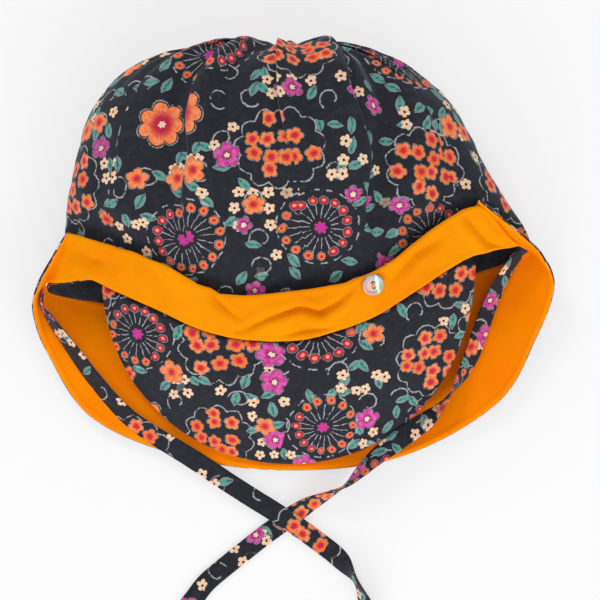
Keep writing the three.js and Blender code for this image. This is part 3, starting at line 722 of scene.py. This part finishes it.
def flap_middle():
    u, v = FLAP_U, FLAP_V
    at = u * (len(FLAP) - 1)
    angle, share, off, hem_x, hem_y, hem_z, bowl = spline(np.arange(len(FLAP)), np.asarray(FLAP, float), at).T
    share = np.minimum(share, 1)
    seam = off_crown(angle, share, off)
    seam[:, 1] += FLAP_SEAM_LAP
    hem = np.stack([hem_x, hem_y, hem_z], axis=1)
    point = seam[:, None] + (hem - seam)[:, None] * v[..., None]
    ripple = 0.3 * wavy(31, point[..., 0], point[..., 1], 40) * np.sin(np.pi * v) ** 0.5
    point[..., 2] = seam[:, 2, None] + (hem_z - seam[:, 2])[:, None] * v ** bowl[:, None] + ripple

    # Under the cuff's ends it follows the crown as far as the cuff goes, and then curls up to its hem
    right, left = cuff_ends(np.clip((1 - share) / (1 - CUFF_LINE_SHARE), 0, 1))
    end = np.where(u < 0.5, left, right)
    inward = np.where(u < 0.5, -1, 1)
    root = off_crown(end + FLAP_UNDER_CUFF * inward, np.minimum(share + 0.06, 1), 1)
    curl = off_crown(end - inward, share, 1)
    w = v[..., None]
    curled = root[:, None] * (1 - w) ** 3 + curl[:, None] * (3 * w * (1 - w)) + hem[:, None] * w ** 3
    point = mix(point, curled, SEWN_UNDER_CUFF[:, None, None])
    point[..., 2] = np.maximum(point[..., 2], CLOTH / 2 + 0.4)
    return point


# Materials. The "cloth" map is the cloth laid flat, in millimetres, so patterns keep their real size.

def linear(red, green, blue):
    """A colour of 8-bit values as the shader takes it."""
    values = [c / 255 for c in (red, green, blue)]
    return tuple(c / 12.92 if c < 0.04045 else ((c + 0.055) / 1.055) ** 2.4 for c in values) + (1,)


NAVY = linear(27, 29, 35)
NAVY_PALE = linear(40, 43, 52)
CORAL = linear(232, 114, 52)
CORAL_DEEP = linear(206, 74, 46)
SALMON = linear(236, 142, 96)
CRIMSON = linear(184, 30, 62)
MAGENTA = linear(184, 50, 136)
MAGENTA_DEEP = linear(118, 22, 72)
ORCHID = linear(206, 92, 164)
CREAM = linear(226, 202, 174)
TEAL = linear(88, 148, 136)
TEAL_DEEP = linear(40, 92, 94)
CHALK = linear(178, 176, 180)
ORANGE = linear(232, 142, 0)
ORANGE_DEEP = linear(230, 120, 0)
# Painted light: the cuff's orange cloth again, painted brighter for the flap's inner side and the visor's
# underside to lift the shade in these hollows
ORANGE_INSIDE_PAINTED_LIGHT = linear(255, 140, 0)
ORANGE_INSIDE_DEEP_PAINTED_LIGHT = linear(255, 122, 0)

# Spacing of the print's large motifs, in millimetres, and where their pattern starts
LARGE_SPACING = 47
LARGE_SHIFT = 11
RAY_BUDS = 15


class Looks:
    """A material and the nodes that make it, each added with one call."""

    def __init__(self, name):
        self.material = bpy.data.materials.new(name)
        self.material.use_nodes = True
        self.tree = self.material.node_tree
        self.shader = self.tree.nodes["Principled BSDF"]
        self.colour = None

    def node(self, kind, wanted, inputs, **settings):
        made = self.tree.nodes.new("ShaderNode" + kind)
        for name, value in settings.items():
            setattr(made, name, value)
        for name, value in inputs.items():
            self.feed(made.inputs[name], value)
        return made.outputs[wanted]

    def feed(self, socket, value):
        if isinstance(value, bpy.types.NodeSocket):
            self.tree.links.new(value, socket)
        else:
            socket.default_value = value

    def finish(self, **values):
        """Sets the shader's own sockets, with spaces in their names given as underscores."""
        for name, value in {"Base_Color": self.colour, **values}.items():
            self.feed(self.shader.inputs[name.replace("_", " ")], value)
        return self.material

    def math(self, operation, *values):
        return self.node("Math", 0, dict(enumerate(values)), operation=operation)

    def times(self, *values):
        total = values[0]
        for value in values[1:]:
            total = self.math("MULTIPLY", total, value)
        return total

    def minus(self, a, b):
        return self.math("SUBTRACT", a, b)

    def gap(self, a, b):
        return self.math("ABSOLUTE", self.minus(a, b))

    def line(self, value, slope, start):
        return self.math("MULTIPLY_ADD", value, slope, start)

    def wave(self, kind, value, pace):
        return self.math(kind, self.math("MULTIPLY", value, pace))

    def vectors(self, operation, *values):
        wanted = "Value" if operation == "LENGTH" else "Vector"
        return self.node("VectorMath", wanted, dict(enumerate(values)), operation=operation)

    def parts(self, vector):
        return self.node("SeparateXYZ", 0, {0: vector}).node.outputs[:3]

    def length(self, x, y):
        return self.vectors("LENGTH", self.node("CombineXYZ", 0, {0: x, 1: y}))

    def step(self, value, low, high):
        """A smooth 0 to 1 as value goes from low to high, or 1 to 0 where low is the larger."""
        inputs = {"Value": value, "From Min": low, "From Max": high}
        return self.node("MapRange", 0, inputs, interpolation_type="SMOOTHSTEP")

    def over(self, below, above, share):
        return self.node("Mix", 2, {0: share, 6: below, 7: above}, data_type="RGBA")

    def paint(self, tone, *shares):
        """Lays a tone over the colour so far, where all the shares say so."""
        self.colour = self.over(self.colour, tone, self.times(*shares))

    def flat_place(self):
        return self.node("UVMap", "UV", {}, uv_map="cloth")

    def noise(self, place, size, detail, roughness=0.5):
        inputs = {"Vector": place, "Scale": 1 / size, "Detail": detail, "Roughness": roughness}
        return self.node("TexNoise", "Fac", inputs, noise_dimensions="3D")

    def cells_of(self, place, size, jitter, shift):
        """The nearest of many scattered centres: where it is, three random shares, and the way from it."""
        moved = self.vectors("ADD", place, (shift, shift * 0.7, 0))
        inputs = {"Vector": moved, "Scale": 1 / size, "Randomness": jitter}
        centre = self.node("TexVoronoi", "Position", inputs, voronoi_dimensions="2D")
        away = self.vectors("SUBTRACT", moved, centre)
        chances = self.node("SeparateColor", 0, {0: centre.node.outputs["Color"]}).node.outputs
        x, y, _ = self.parts(away)
        return {
            "centre": self.vectors("SUBTRACT", centre, (shift, shift * 0.7, 0)),
            "away": away,
            "radius": self.vectors("LENGTH", away),
            "turn": self.math("ADD", self.math("ARCTAN2", y, x), self.times(chances[0], 6.28)),
            "chance": chances,
        }

    def stirred(self, place, size, reach):
        """The place, moved about a little by noise, so that what is drawn there looks hand drawn."""
        inputs = {"Vector": place, "Scale": 1 / size, "Detail": 1.0}
        noise = self.node("TexNoise", "Color", inputs, noise_dimensions="2D")
        shift = self.vectors("MULTIPLY_ADD", noise, (2 * reach, 2 * reach, 0), (-reach, -reach, 0))
        return self.vectors("ADD", place, shift)

    def rosette(self, cell, size, petals, depth, soft=0.25):
        """The share of a flower of round petals about a cell's centre."""
        edge = self.math("POWER", self.math("ABSOLUTE", self.wave("COSINE", cell["turn"], petals / 2)), 0.55)
        edge = self.line(edge, depth, 1 - depth)
        return self.step(self.minus(self.times(edge, size), cell["radius"]), 0, soft)

    def bump(self, height, strength, distance=0.0001):
        inputs = {"Strength": strength, "Distance": distance, "Height": height}
        return self.node("Bump", "Normal", inputs)

    def weave(self, place, size, strength, crease):
        """A bump of crossing threads and small slubs, and of soft rubbed creases."""
        x, y, _ = self.parts(place)
        pace = 2 * math.pi / size
        threads = self.times(self.wave("SINE", x, pace), self.wave("SINE", y, pace))
        slubs = self.noise(self.vectors("MULTIPLY", place, (1, 0.25, 1)), 1.1, 2)
        height = self.line(slubs, 1.6, self.times(threads, 0.35))
        height = self.line(self.noise(place, 11, 4, 0.6), crease, height)
        return self.bump(height, strength, 0.0002)


def printed_cotton():
    """Dark cotton with scattered posies, ray flowers, single flowers, sprigs and leaves."""
    look = Looks("printed_cotton")
    over, paint, step, times, minus, rosette = (
        look.over, look.paint, look.step, look.times, look.minus, look.rosette)
    cloth = look.flat_place()
    place = look.stirred(look.stirred(cloth, 13, 1.0), 2.0, 0.38)
    worn = look.noise(cloth, 3.2, 4, 0.65)
    speck = look.noise(cloth, 0.8, 3, 0.6)
    inked = step(speck, 0.2, 0.42)
    chalked = times(step(worn, 0.36, 0.5), step(speck, 0.3, 0.5), 0.85)
    mottle = step(look.noise(cloth, 2.1, 3, 0.6), 0.38, 0.62)
    look.colour = over(NAVY, NAVY_PALE, step(worn, 0.4, 0.8))

    def large_motif(where):
        return look.cells_of(where, LARGE_SPACING, 0.5, LARGE_SHIFT)

    def clear_of_large(cell, distance):
        """Whether a small motif's centre is farther than a distance from every large one's."""
        return look.math("GREATER_THAN", large_motif(cell["centre"])["radius"], distance)

    def petal_tone(light, pale, dark, cell, rim, middle, mottled=mottle):
        """A petal's tone, mottled from light to pale, and dark towards the flower's middle."""
        return over(over(light, pale, mottled), dark, step(cell["radius"], rim, middle))

    def flower(cell, where, petals, sizes, depths, tone, eye, eye_shape, chalk=0.8, soft=0.25):
        """A flower with a chalky outline, a dark line inside it, petals and an eye."""
        paint(CHALK, rosette(cell, sizes[0], petals, depths[0]), where, chalked, chalk)
        paint(NAVY, rosette(cell, sizes[1], petals, depths[0]), where)
        paint(tone, rosette(cell, sizes[2], petals, depths[1], soft), where, inked)
        paint(eye, rosette(cell, *eye_shape), where)

    large = large_motif(place)
    kind = large["chance"][1]
    turn = large["turn"]
    radius = large["radius"]
    posy = step(kind, 0.44, 0.4)
    ray = times(step(kind, 0.44, 0.46), step(kind, 0.8, 0.78))
    single = step(kind, 0.8, 0.82)

    # Chalky lines: a scalloped line round each posy, and curls
    scallop = look.line(look.math("ABSOLUTE", look.wave("COSINE", turn, 5.5)), 2.6, 15.8)
    paint(CHALK, step(look.gap(radius, scallop), 0.5, 0.2), posy, chalked)
    curl = look.cells_of(place, 15, 0.7, 5)
    far = clear_of_large(curl, 19)
    part = look.math("FRACT", look.math("DIVIDE", curl["turn"], 2 * math.pi))
    spiral = look.gap(curl["radius"], look.line(part, 3.4, 1.8))
    paint(CHALK, step(spiral, 0.5, 0.2), far, step(curl["chance"][1], 0.46, 0.5),
          step(part, 0.2, 0.26), chalked)

    # Teal leaves with a pale edge
    leaf = look.cells_of(place, 8.6, 0.8, 31)
    far = clear_of_large(leaf, 17.5)
    tilt = look.node("CombineXYZ", 0, {2: times(leaf["chance"][0], 6.28)})
    inputs = {"Vector": leaf["away"], "Rotation": tilt}
    along, across, _ = look.parts(look.node("VectorRotate", 0, inputs, rotation_type="EULER_XYZ"))
    across = look.math("ABSOLUTE", across)
    width = minus(1, look.math("POWER", look.math("DIVIDE", along, 4.0), 2))
    inside = minus(times(width, 1.9), across)
    leaves = times(far, step(leaf["chance"][1], 0.5, 0.52), inked)
    tone = over(TEAL_DEEP, TEAL, step(look.line(mottle, 0.7, across), 0.2, 1.1))
    paint(CHALK, step(inside, -0.3, 0.0), leaves, 0.5)
    paint(tone, step(inside, 0.1, 0.4), leaves)

    # Cream sprigs
    sprig = look.cells_of(place, 7.4, 0.6, 57)
    far = clear_of_large(sprig, 19.5)
    chosen = times(far, step(sprig["chance"][1], 0.72, 0.74))
    paint(over(CREAM, SALMON, times(mottle, 0.4)), rosette(sprig, 2.9, 5, 0.5), chosen, inked)
    paint(NAVY, step(sprig["radius"], 0.75, 0.5), chosen)

    # Small orange and magenta flowers between the large ones
    bloom = look.cells_of(place, 15, 0.65, 83)
    far = clear_of_large(bloom, 20.5)
    chosen = times(far, step(bloom["chance"][2], 0.5, 0.52))
    pink = step(bloom["chance"][1], 0.46, 0.48)
    size = look.line(bloom["chance"][0], 2.4, 4.2)
    warm = petal_tone(CORAL, SALMON, CORAL_DEEP, bloom, 3.2, 1.2)
    cool = petal_tone(MAGENTA, ORCHID, MAGENTA_DEEP, bloom, 3.0, 1.0)
    sizes = (size, minus(size, 0.32), minus(size, 0.52))
    flower(bloom, chosen, 5, sizes, (0.36, 0.42), over(warm, cool, pink),
           over(CRIMSON, CREAM, pink), (1.5, 5, 0.5))

    # Ray flowers: chalky rays towards a ring of buds
    rays = times(look.math("ABSOLUTE", look.wave("SINE", turn, 9.5)), radius, 0.105)
    reach = times(step(radius, 4.6, 5.2), step(radius, 12.8, 12.2))
    paint(CHALK, step(rays, 0.3, 0.1), reach, ray, chalked)
    dashes = step(look.wave("SINE", turn, 16), -0.3, 0.1)
    paint(CHALK, step(look.gap(radius, 17.4), 0.45, 0.2), dashes, ray, chalked)
    slices = times(turn, RAY_BUDS / (2 * math.pi))
    slice_part = minus(look.math("FRACT", slices), 0.5)
    odd = times(look.wave("SINE", look.math("FLOOR", slices), 12.9), 1.5)
    bud_x = times(slice_part, 2 * math.pi / RAY_BUDS, radius)
    bud = look.length(bud_x, minus(radius, look.math("ADD", odd, 13.6)))
    odd = step(odd, -0.2, 0.2)
    paint(CHALK, step(bud, 2.35, 2.1), ray, chalked, 0.8)
    paint(NAVY, step(bud, 2.05, 1.9), ray)
    paint(over(CRIMSON, CORAL, odd), step(bud, 1.95, 1.6), ray, inked)
    paint(over(SALMON, CRIMSON, odd), step(bud, 0.95, 0.65), ray)
    paint(MAGENTA, rosette(large, 3.2, 7, 0.5), ray, inked)

    # Single large flowers, magenta or orange
    warm = step(large["chance"][2], 0.5, 0.52)
    deep = step(look.line(look.wave("COSINE", turn, 37), 1.1, radius), 7.0, 3.4)
    petal = over(over(MAGENTA, ORCHID, mottle), over(CORAL, SALMON, mottle), warm)
    petal = over(petal, over(MAGENTA_DEEP, CRIMSON, warm), deep)
    flower(large, single, 7, (11.6, 11.0, 10.4), (0.3, 0.34), petal, CREAM, (1.9, 6, 0.6), soft=0.4)

    # Posies of small orange blossoms
    small = look.cells_of(place, 8.0, 0.42, 3)
    big = large_motif(small["centre"])
    near = look.math("LESS_THAN", big["radius"], 14.2)
    in_posy = times(near, look.math("LESS_THAN", big["chance"][1], 0.42))
    pale = times(step(small["chance"][2], 0.2, 0.8), mottle)
    petal = petal_tone(CORAL, SALMON, CORAL_DEEP, small, 2.6, 1.2, pale)
    flower(small, in_posy, 5, (4.15, 3.85, 3.7), (0.3, 0.34), petal, CRIMSON, (1.6, 5, 0.6), chalk=0.75)

    return look.finish(Roughness=0.82, Sheen_Weight=0.2, Sheen_Roughness=0.45, Specular_IOR_Level=0.2,
                       Sheen_Tint=linear(190, 200, 225), Normal=look.weave(cloth, 0.5, 0.3, 3.0))


def dark_lining():
    look = Looks("dark_lining")
    place = look.flat_place()
    look.colour = look.over(NAVY_PALE, linear(58, 62, 74), look.step(look.noise(place, 4, 4, 0.6), 0.4, 0.7))
    return look.finish(Roughness=0.88, Sheen_Weight=0.15, Specular_IOR_Level=0.2,
                       Normal=look.weave(place, 0.5, 0.35, 2.0))


def orange_cotton(name, plain, deep):
    look = Looks(name)
    place = look.flat_place()
    look.colour = look.over(plain, deep, look.times(look.step(look.noise(place, 34, 3), 0.35, 0.7), 0.5))
    slub = look.noise(look.vectors("MULTIPLY", place, (0.3, 1, 1)), 1.0, 3)
    look.paint(linear(255, 168, 30), look.step(slub, 0.62, 0.75), 0.25)
    return look.finish(Roughness=0.8, Sheen_Weight=0.02, Sheen_Roughness=0.5, Sheen_Tint=linear(255, 170, 40),
                       Specular_IOR_Level=0.04, Normal=look.weave(place, 0.6, 0.3, 3.4))


def shell():
    """Mother of pearl: a rosy and a mint side, with fine bands, and painted shade as grey on one side of the
    rim.
    """
    look = Looks("shell")
    place = look.node("TexCoord", "Object", {})
    x, y, _ = look.parts(place)
    bands = look.noise(look.vectors("MULTIPLY", place, (300, 900, 500)), 1.4, 4, 0.6)
    side = look.line(bands, 0.003, y)
    look.colour = look.over(linear(150, 174, 160), linear(200, 148, 136), look.step(side, 0.0006, 0.0032))
    look.paint(linear(160, 152, 164), look.step(x, 0.001, 0.004))
    streak = look.math("ABSOLUTE", look.math("ADD", side, 0.0003))
    look.paint(linear(226, 228, 206), look.step(streak, 0.0011, 0.0003))
    # Painted shade: grey darkens the rim on one side only, where shade falls on the button's edge
    rim = look.step(look.length(x, y), 0.0040, 0.0050)
    look.paint(linear(118, 112, 116), rim, look.step(side, 0.0012, -0.001), 0.7)
    look.paint(linear(150, 134, 134), look.step(bands, 0.42, 0.28), 0.6)
    return look.finish(Roughness=0.25, Coat_Weight=0.6, Coat_Roughness=0.1, Specular_IOR_Level=0.5,
                       Normal=look.bump(bands, 0.12))


def thread():
    look = Looks("orange_thread")
    place = look.node("TexCoord", "Object", {})
    twist = look.noise(look.vectors("MULTIPLY", place, (4000, 4000, 900)), 1, 2)
    look.colour = look.over(linear(206, 120, 60), linear(240, 168, 104), look.step(twist, 0.35, 0.65))
    return look.finish(Roughness=0.7, Sheen_Weight=0.3, Normal=look.bump(twist, 0.5))


PRINT = printed_cotton()
LINING = dark_lining()
COTTON = orange_cotton("orange_cotton", ORANGE, ORANGE_DEEP)
# The inside orange is the cuff's cloth painted brighter: painted light for the shaded flap and visor
# underside
INSIDE_PAINTED_LIGHT = orange_cotton("orange_inside_painted_light", ORANGE_INSIDE_PAINTED_LIGHT, ORANGE_INSIDE_DEEP_PAINTED_LIGHT)


# The camera looks down on the hat, a few degrees from straight above

def aim(thing, target):
    thing.rotation_euler = (Vector(target) - thing.location).to_track_quat("-Z", "Y").to_euler()


camera = link("camera", bpy.data.cameras.new("camera"))
camera.location = CAMERA_PLACE
aim(camera, CAMERA_TARGET)
camera.data.sensor_width = 36
camera.data.lens = CAMERA_LENS
camera.data.clip_start = 0.05
bpy.context.scene.camera = camera


def place_piece(piece, node):
    """Ties a piece to the hat's body and hides the solid that it stands for."""
    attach(piece, "root")
    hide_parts(node)


# The ties: flat bands, folded and stitched along one edge

def tie_line(rows):
    """Points along a tie's middle line, its directions, and the way across it."""
    table = np.asarray(rows, float)
    read = spline(np.linspace(0, 1, len(table)), table, np.linspace(0, 1, TIE_STEPS + 1))
    line = read[:, :3]
    along = unit(np.gradient(line, axis=0))
    across = unit(np.cross((0, 0, 1), along))
    roll = np.radians(read[:, 3])[:, None]
    return line, along, across * np.cos(roll) + np.cross(along, across) * np.sin(roll)


def make_tie(name, node, rows, shift):
    line, along, across = tie_line(rows)
    up = np.cross(along, across)
    run = np.concatenate([[0], np.cumsum(np.linalg.norm(np.diff(line, axis=0), axis=1))])
    places = np.array(TIE_ACROSS)
    wide = places * TIE_WIDTH / 2
    half = TIE_THICKNESS / 2 * round_edge(TIE_WIDTH / 2 - np.abs(wide), TIE_THICKNESS / 2)
    half = np.maximum(half, 0.08) - 0.22 * (np.abs(places - TIE_SEAM_AT) < 0.01)
    thin = 0.25 + 0.75 * np.sqrt(np.clip(np.minimum(run, run[-1] - run) / 1.2, 0, 1))
    wander = 0.12 * wavy(41, run, run * 0.3, 26) + 0.06 * wavy(42, run, run * 0.2, 7)
    pucker = 0.06 * np.sin(run * 2.1)[:, None] * hump(places, TIE_SEAM_AT, 0.2)[None, :]
    middle = line[:, None] + across[:, None] * wide[None, :, None] + across[:, None] * wander[:, None, None]
    lift = (half[None, :] * thin[:, None])[..., None] * up[:, None]
    ripple = pucker[..., None] * up[:, None]
    count = len(places)
    grid = np.concatenate([middle + lift + ripple, (middle - lift + ripple)[:, ::-1]], axis=1)
    ids = numbered(len(line), 2 * count)
    wrapped = wrap(ids)
    flat = np.zeros(wrapped.shape + (2,))
    flat[..., 0] = np.concatenate([wide, wide[::-1] + 61, wide[:1]])
    flat[..., 1] = run[:, None]
    flat = flat + np.asarray(shift, float)
    faces = [corners(wrapped)]
    flats = [corners(flat)]
    k = np.arange(count - 1)
    for row, way in ((0, -1), (len(line) - 1, 1)):
        far = 2 * count - 1 - k
        cap = np.stack([ids[row, k], ids[row, k + 1], ids[row, far - 1], ids[row, far]], axis=1)
        cap_flat = np.stack([flat[row, k], flat[row, k + 1], flat[row, k + 1], flat[row, k]], axis=1)
        faces.append(cap[:, ::way])
        flats.append(cap_flat[:, ::way])
    faces = np.concatenate(faces)
    piece = cloth_object(name, grid.reshape(-1, 3), faces, np.concatenate(flats), [0] * len(faces), [PRINT])
    place_piece(piece, node)
    path = line * MM
    tuple(path[0])
    [tuple(p) for p in path[::4]]


make_tie("tie_left_band", "tie_left", LEFT_TIE, (15, 8))
make_tie("tie_right_band", "tie_right", RIGHT_TIE, (133, 71))


# The hat's cloth

crown = make_crown(PRINT, LINING)
place_piece(crown, "crown")

cuff = cloth_panel("front_cuff_cloth", cuff_middle(), CLOTH, [COTTON], (0, 0), puff=0.3)
place_piece(cuff, "front_cuff")

visor = cloth_panel("visor_cloth", visor_middle(), VISOR_THICKNESS, [PRINT, INSIDE_PAINTED_LIGHT], (0, 1), shift=(310, 40))
place_piece(visor, "visor")

thin_seam = SEWN_UNDER_CUFF[:, None] * (1 - ease(0.3, 0.7, FLAP_V))
flap = cloth_panel("neck_flap_cloth", flap_middle(), mix(CLOTH, FLAP_SEAM_THICKNESS, thin_seam),
                   [INSIDE_PAINTED_LIGHT, PRINT], (0, 1), puff=0.4, hem=1)
place_piece(flap, "neck_flap")


# The button and its stitch, made in the button's own frame with +Z out of its face

def button_frame():
    share = mix(1, CUFF_LINE_SHARE, BUTTON_SHARE)
    normal = crown_normal(BUTTON_ANGLE, share)
    lift = mix(*CUFF_STAND_OFF, BUTTON_SHARE) + CLOTH + 0.6
    place = (crown_face(BUTTON_ANGLE, share) + normal * lift) * MM
    turn = Vector((0, 0, 1)).rotation_difference(Vector(normal)).to_matrix().to_4x4()
    return Matrix.Translation(Vector(place)) @ turn @ Matrix.Rotation(math.radians(BUTTON_SPIN), 4, "Z")


def lathe(name, profile, sides):
    """A closed turned solid from pairs of radius and height, the first and last on its axis."""
    turn = np.arange(sides) * 2 * math.pi / sides
    points = [(0, 0, profile[0][1])]
    for radius, height in profile[1:-1]:
        points += [(radius * math.cos(t), radius * math.sin(t), height) for t in turn]
    points.append((0, 0, profile[-1][1]))
    ids = wrap(numbered(len(profile) - 2, sides, 1))
    low, high = ids[0].tolist(), ids[-1].tolist()
    faces = [(0, b, a) for a, b in zip(low, low[1:])]
    faces += corners(ids)[:, ::-1].tolist()
    faces += [(a, b, len(points) - 1) for a, b in zip(high, high[1:])]
    return link_mesh(name, points, faces)


def make_button():
    button = lathe("shell_button", BUTTON_PROFILE, 96)
    hole_profile = [(0, -1), (BUTTON_HOLE_RADIUS, -1), (BUTTON_HOLE_RADIUS, 1.15),
                    (BUTTON_HOLE_RADIUS + 0.15, 1.36), (BUTTON_HOLE_RADIUS + 0.3, 3), (0, 3)]
    for side in (-1, 1):
        hole = lathe("hole", hole_profile, 32)
        hole.location = (side * BUTTON_HOLE_OFFSET * MM, 0, 0)
        cut = button.modifiers.new("cut", "BOOLEAN")
        cut.operation = "DIFFERENCE"
        cut.solver = "EXACT"
        cut.object = hole
        bpy.context.view_layer.objects.active = button
        bpy.ops.object.modifier_apply(modifier="cut")
        bpy.data.objects.remove(hole)
    button.data.materials.append(shell())
    button.data.shade_smooth()
    button.data.set_sharp_from_angle(angle=math.radians(38))
    button.matrix_world = button_frame()
    return button


def make_stitch():
    """Three strands that lie side by side over the bar between the holes."""
    sides, steps = 10, 26
    turn = np.linspace(0, math.pi, steps + 1)[:, None]
    way = np.arange(sides)[None, :] * 2 * math.pi / sides
    rise = np.sin(turn)
    lean = np.arctan2(0.65 * np.cos(turn), BUTTON_HOLE_OFFSET * rise + 0.05)
    out = THREAD_RADIUS * np.cos(way)
    x = -BUTTON_HOLE_OFFSET * 1.02 * np.cos(turn) - out * np.sin(lean)
    z = 0.35 + 1.45 * rise ** 0.45 + out * np.cos(lean)
    points = []
    faces = []
    for strand in range(3):
        y = (strand - 1) * 0.36 * rise ** 0.3 + THREAD_RADIUS * np.sin(way)
        points.append(np.stack([x, y, z], axis=-1).reshape(-1, 3))
        ids = numbered(steps + 1, sides, strand * (steps + 1) * sides)
        faces += corners(wrap(ids))[:, ::-1].tolist() + [ids[0, ::-1].tolist(), ids[-1].tolist()]
    stitch = link_mesh("button_stitch", np.concatenate(points), faces)
    stitch.data.shade_smooth()
    stitch.data.materials.append(thread())
    stitch.matrix_world = button_frame()
    return stitch


bpy.context.view_layer.update()
button = make_button()
stitch = make_stitch()
bpy.context.view_layer.update()
place_piece(button, "button")
place_piece(stitch, "button_thread")


# Floor and light

def make_floor():
    ways = ((-1, -1, 0), (1, -1, 0), (1, 1, 0), (-1, 1, 0))
    floor = link_mesh("floor", np.array(ways) * FLOOR_HALF_WIDTH, [(0, 1, 2, 3)])
    look = Looks("floor")
    look.colour = linear(152, 152, 153)
    floor.data.materials.append(look.finish(Roughness=0.95, Specular_IOR_Level=0.0,
                                            Emission_Color=WHITE, Emission_Strength=0.6))


def make_light(name, place, size, power):
    light = link(name, bpy.data.lights.new(name, "AREA"))
    light.data.shape = "DISK"
    light.data.size = size
    light.data.energy = power
    light.location = place
    aim(light, (0, 0, 0))


make_floor()
for light in LIGHTS:
    make_light(*light)
world = bpy.data.worlds.new("studio")
world.use_nodes = True
background = world.node_tree.nodes["Background"]
background.inputs["Color"].default_value = WHITE
background.inputs["Strength"].default_value = WORLD_LIGHT
bpy.context.scene.world = world
bpy.context.scene.view_settings.view_transform = "Standard"
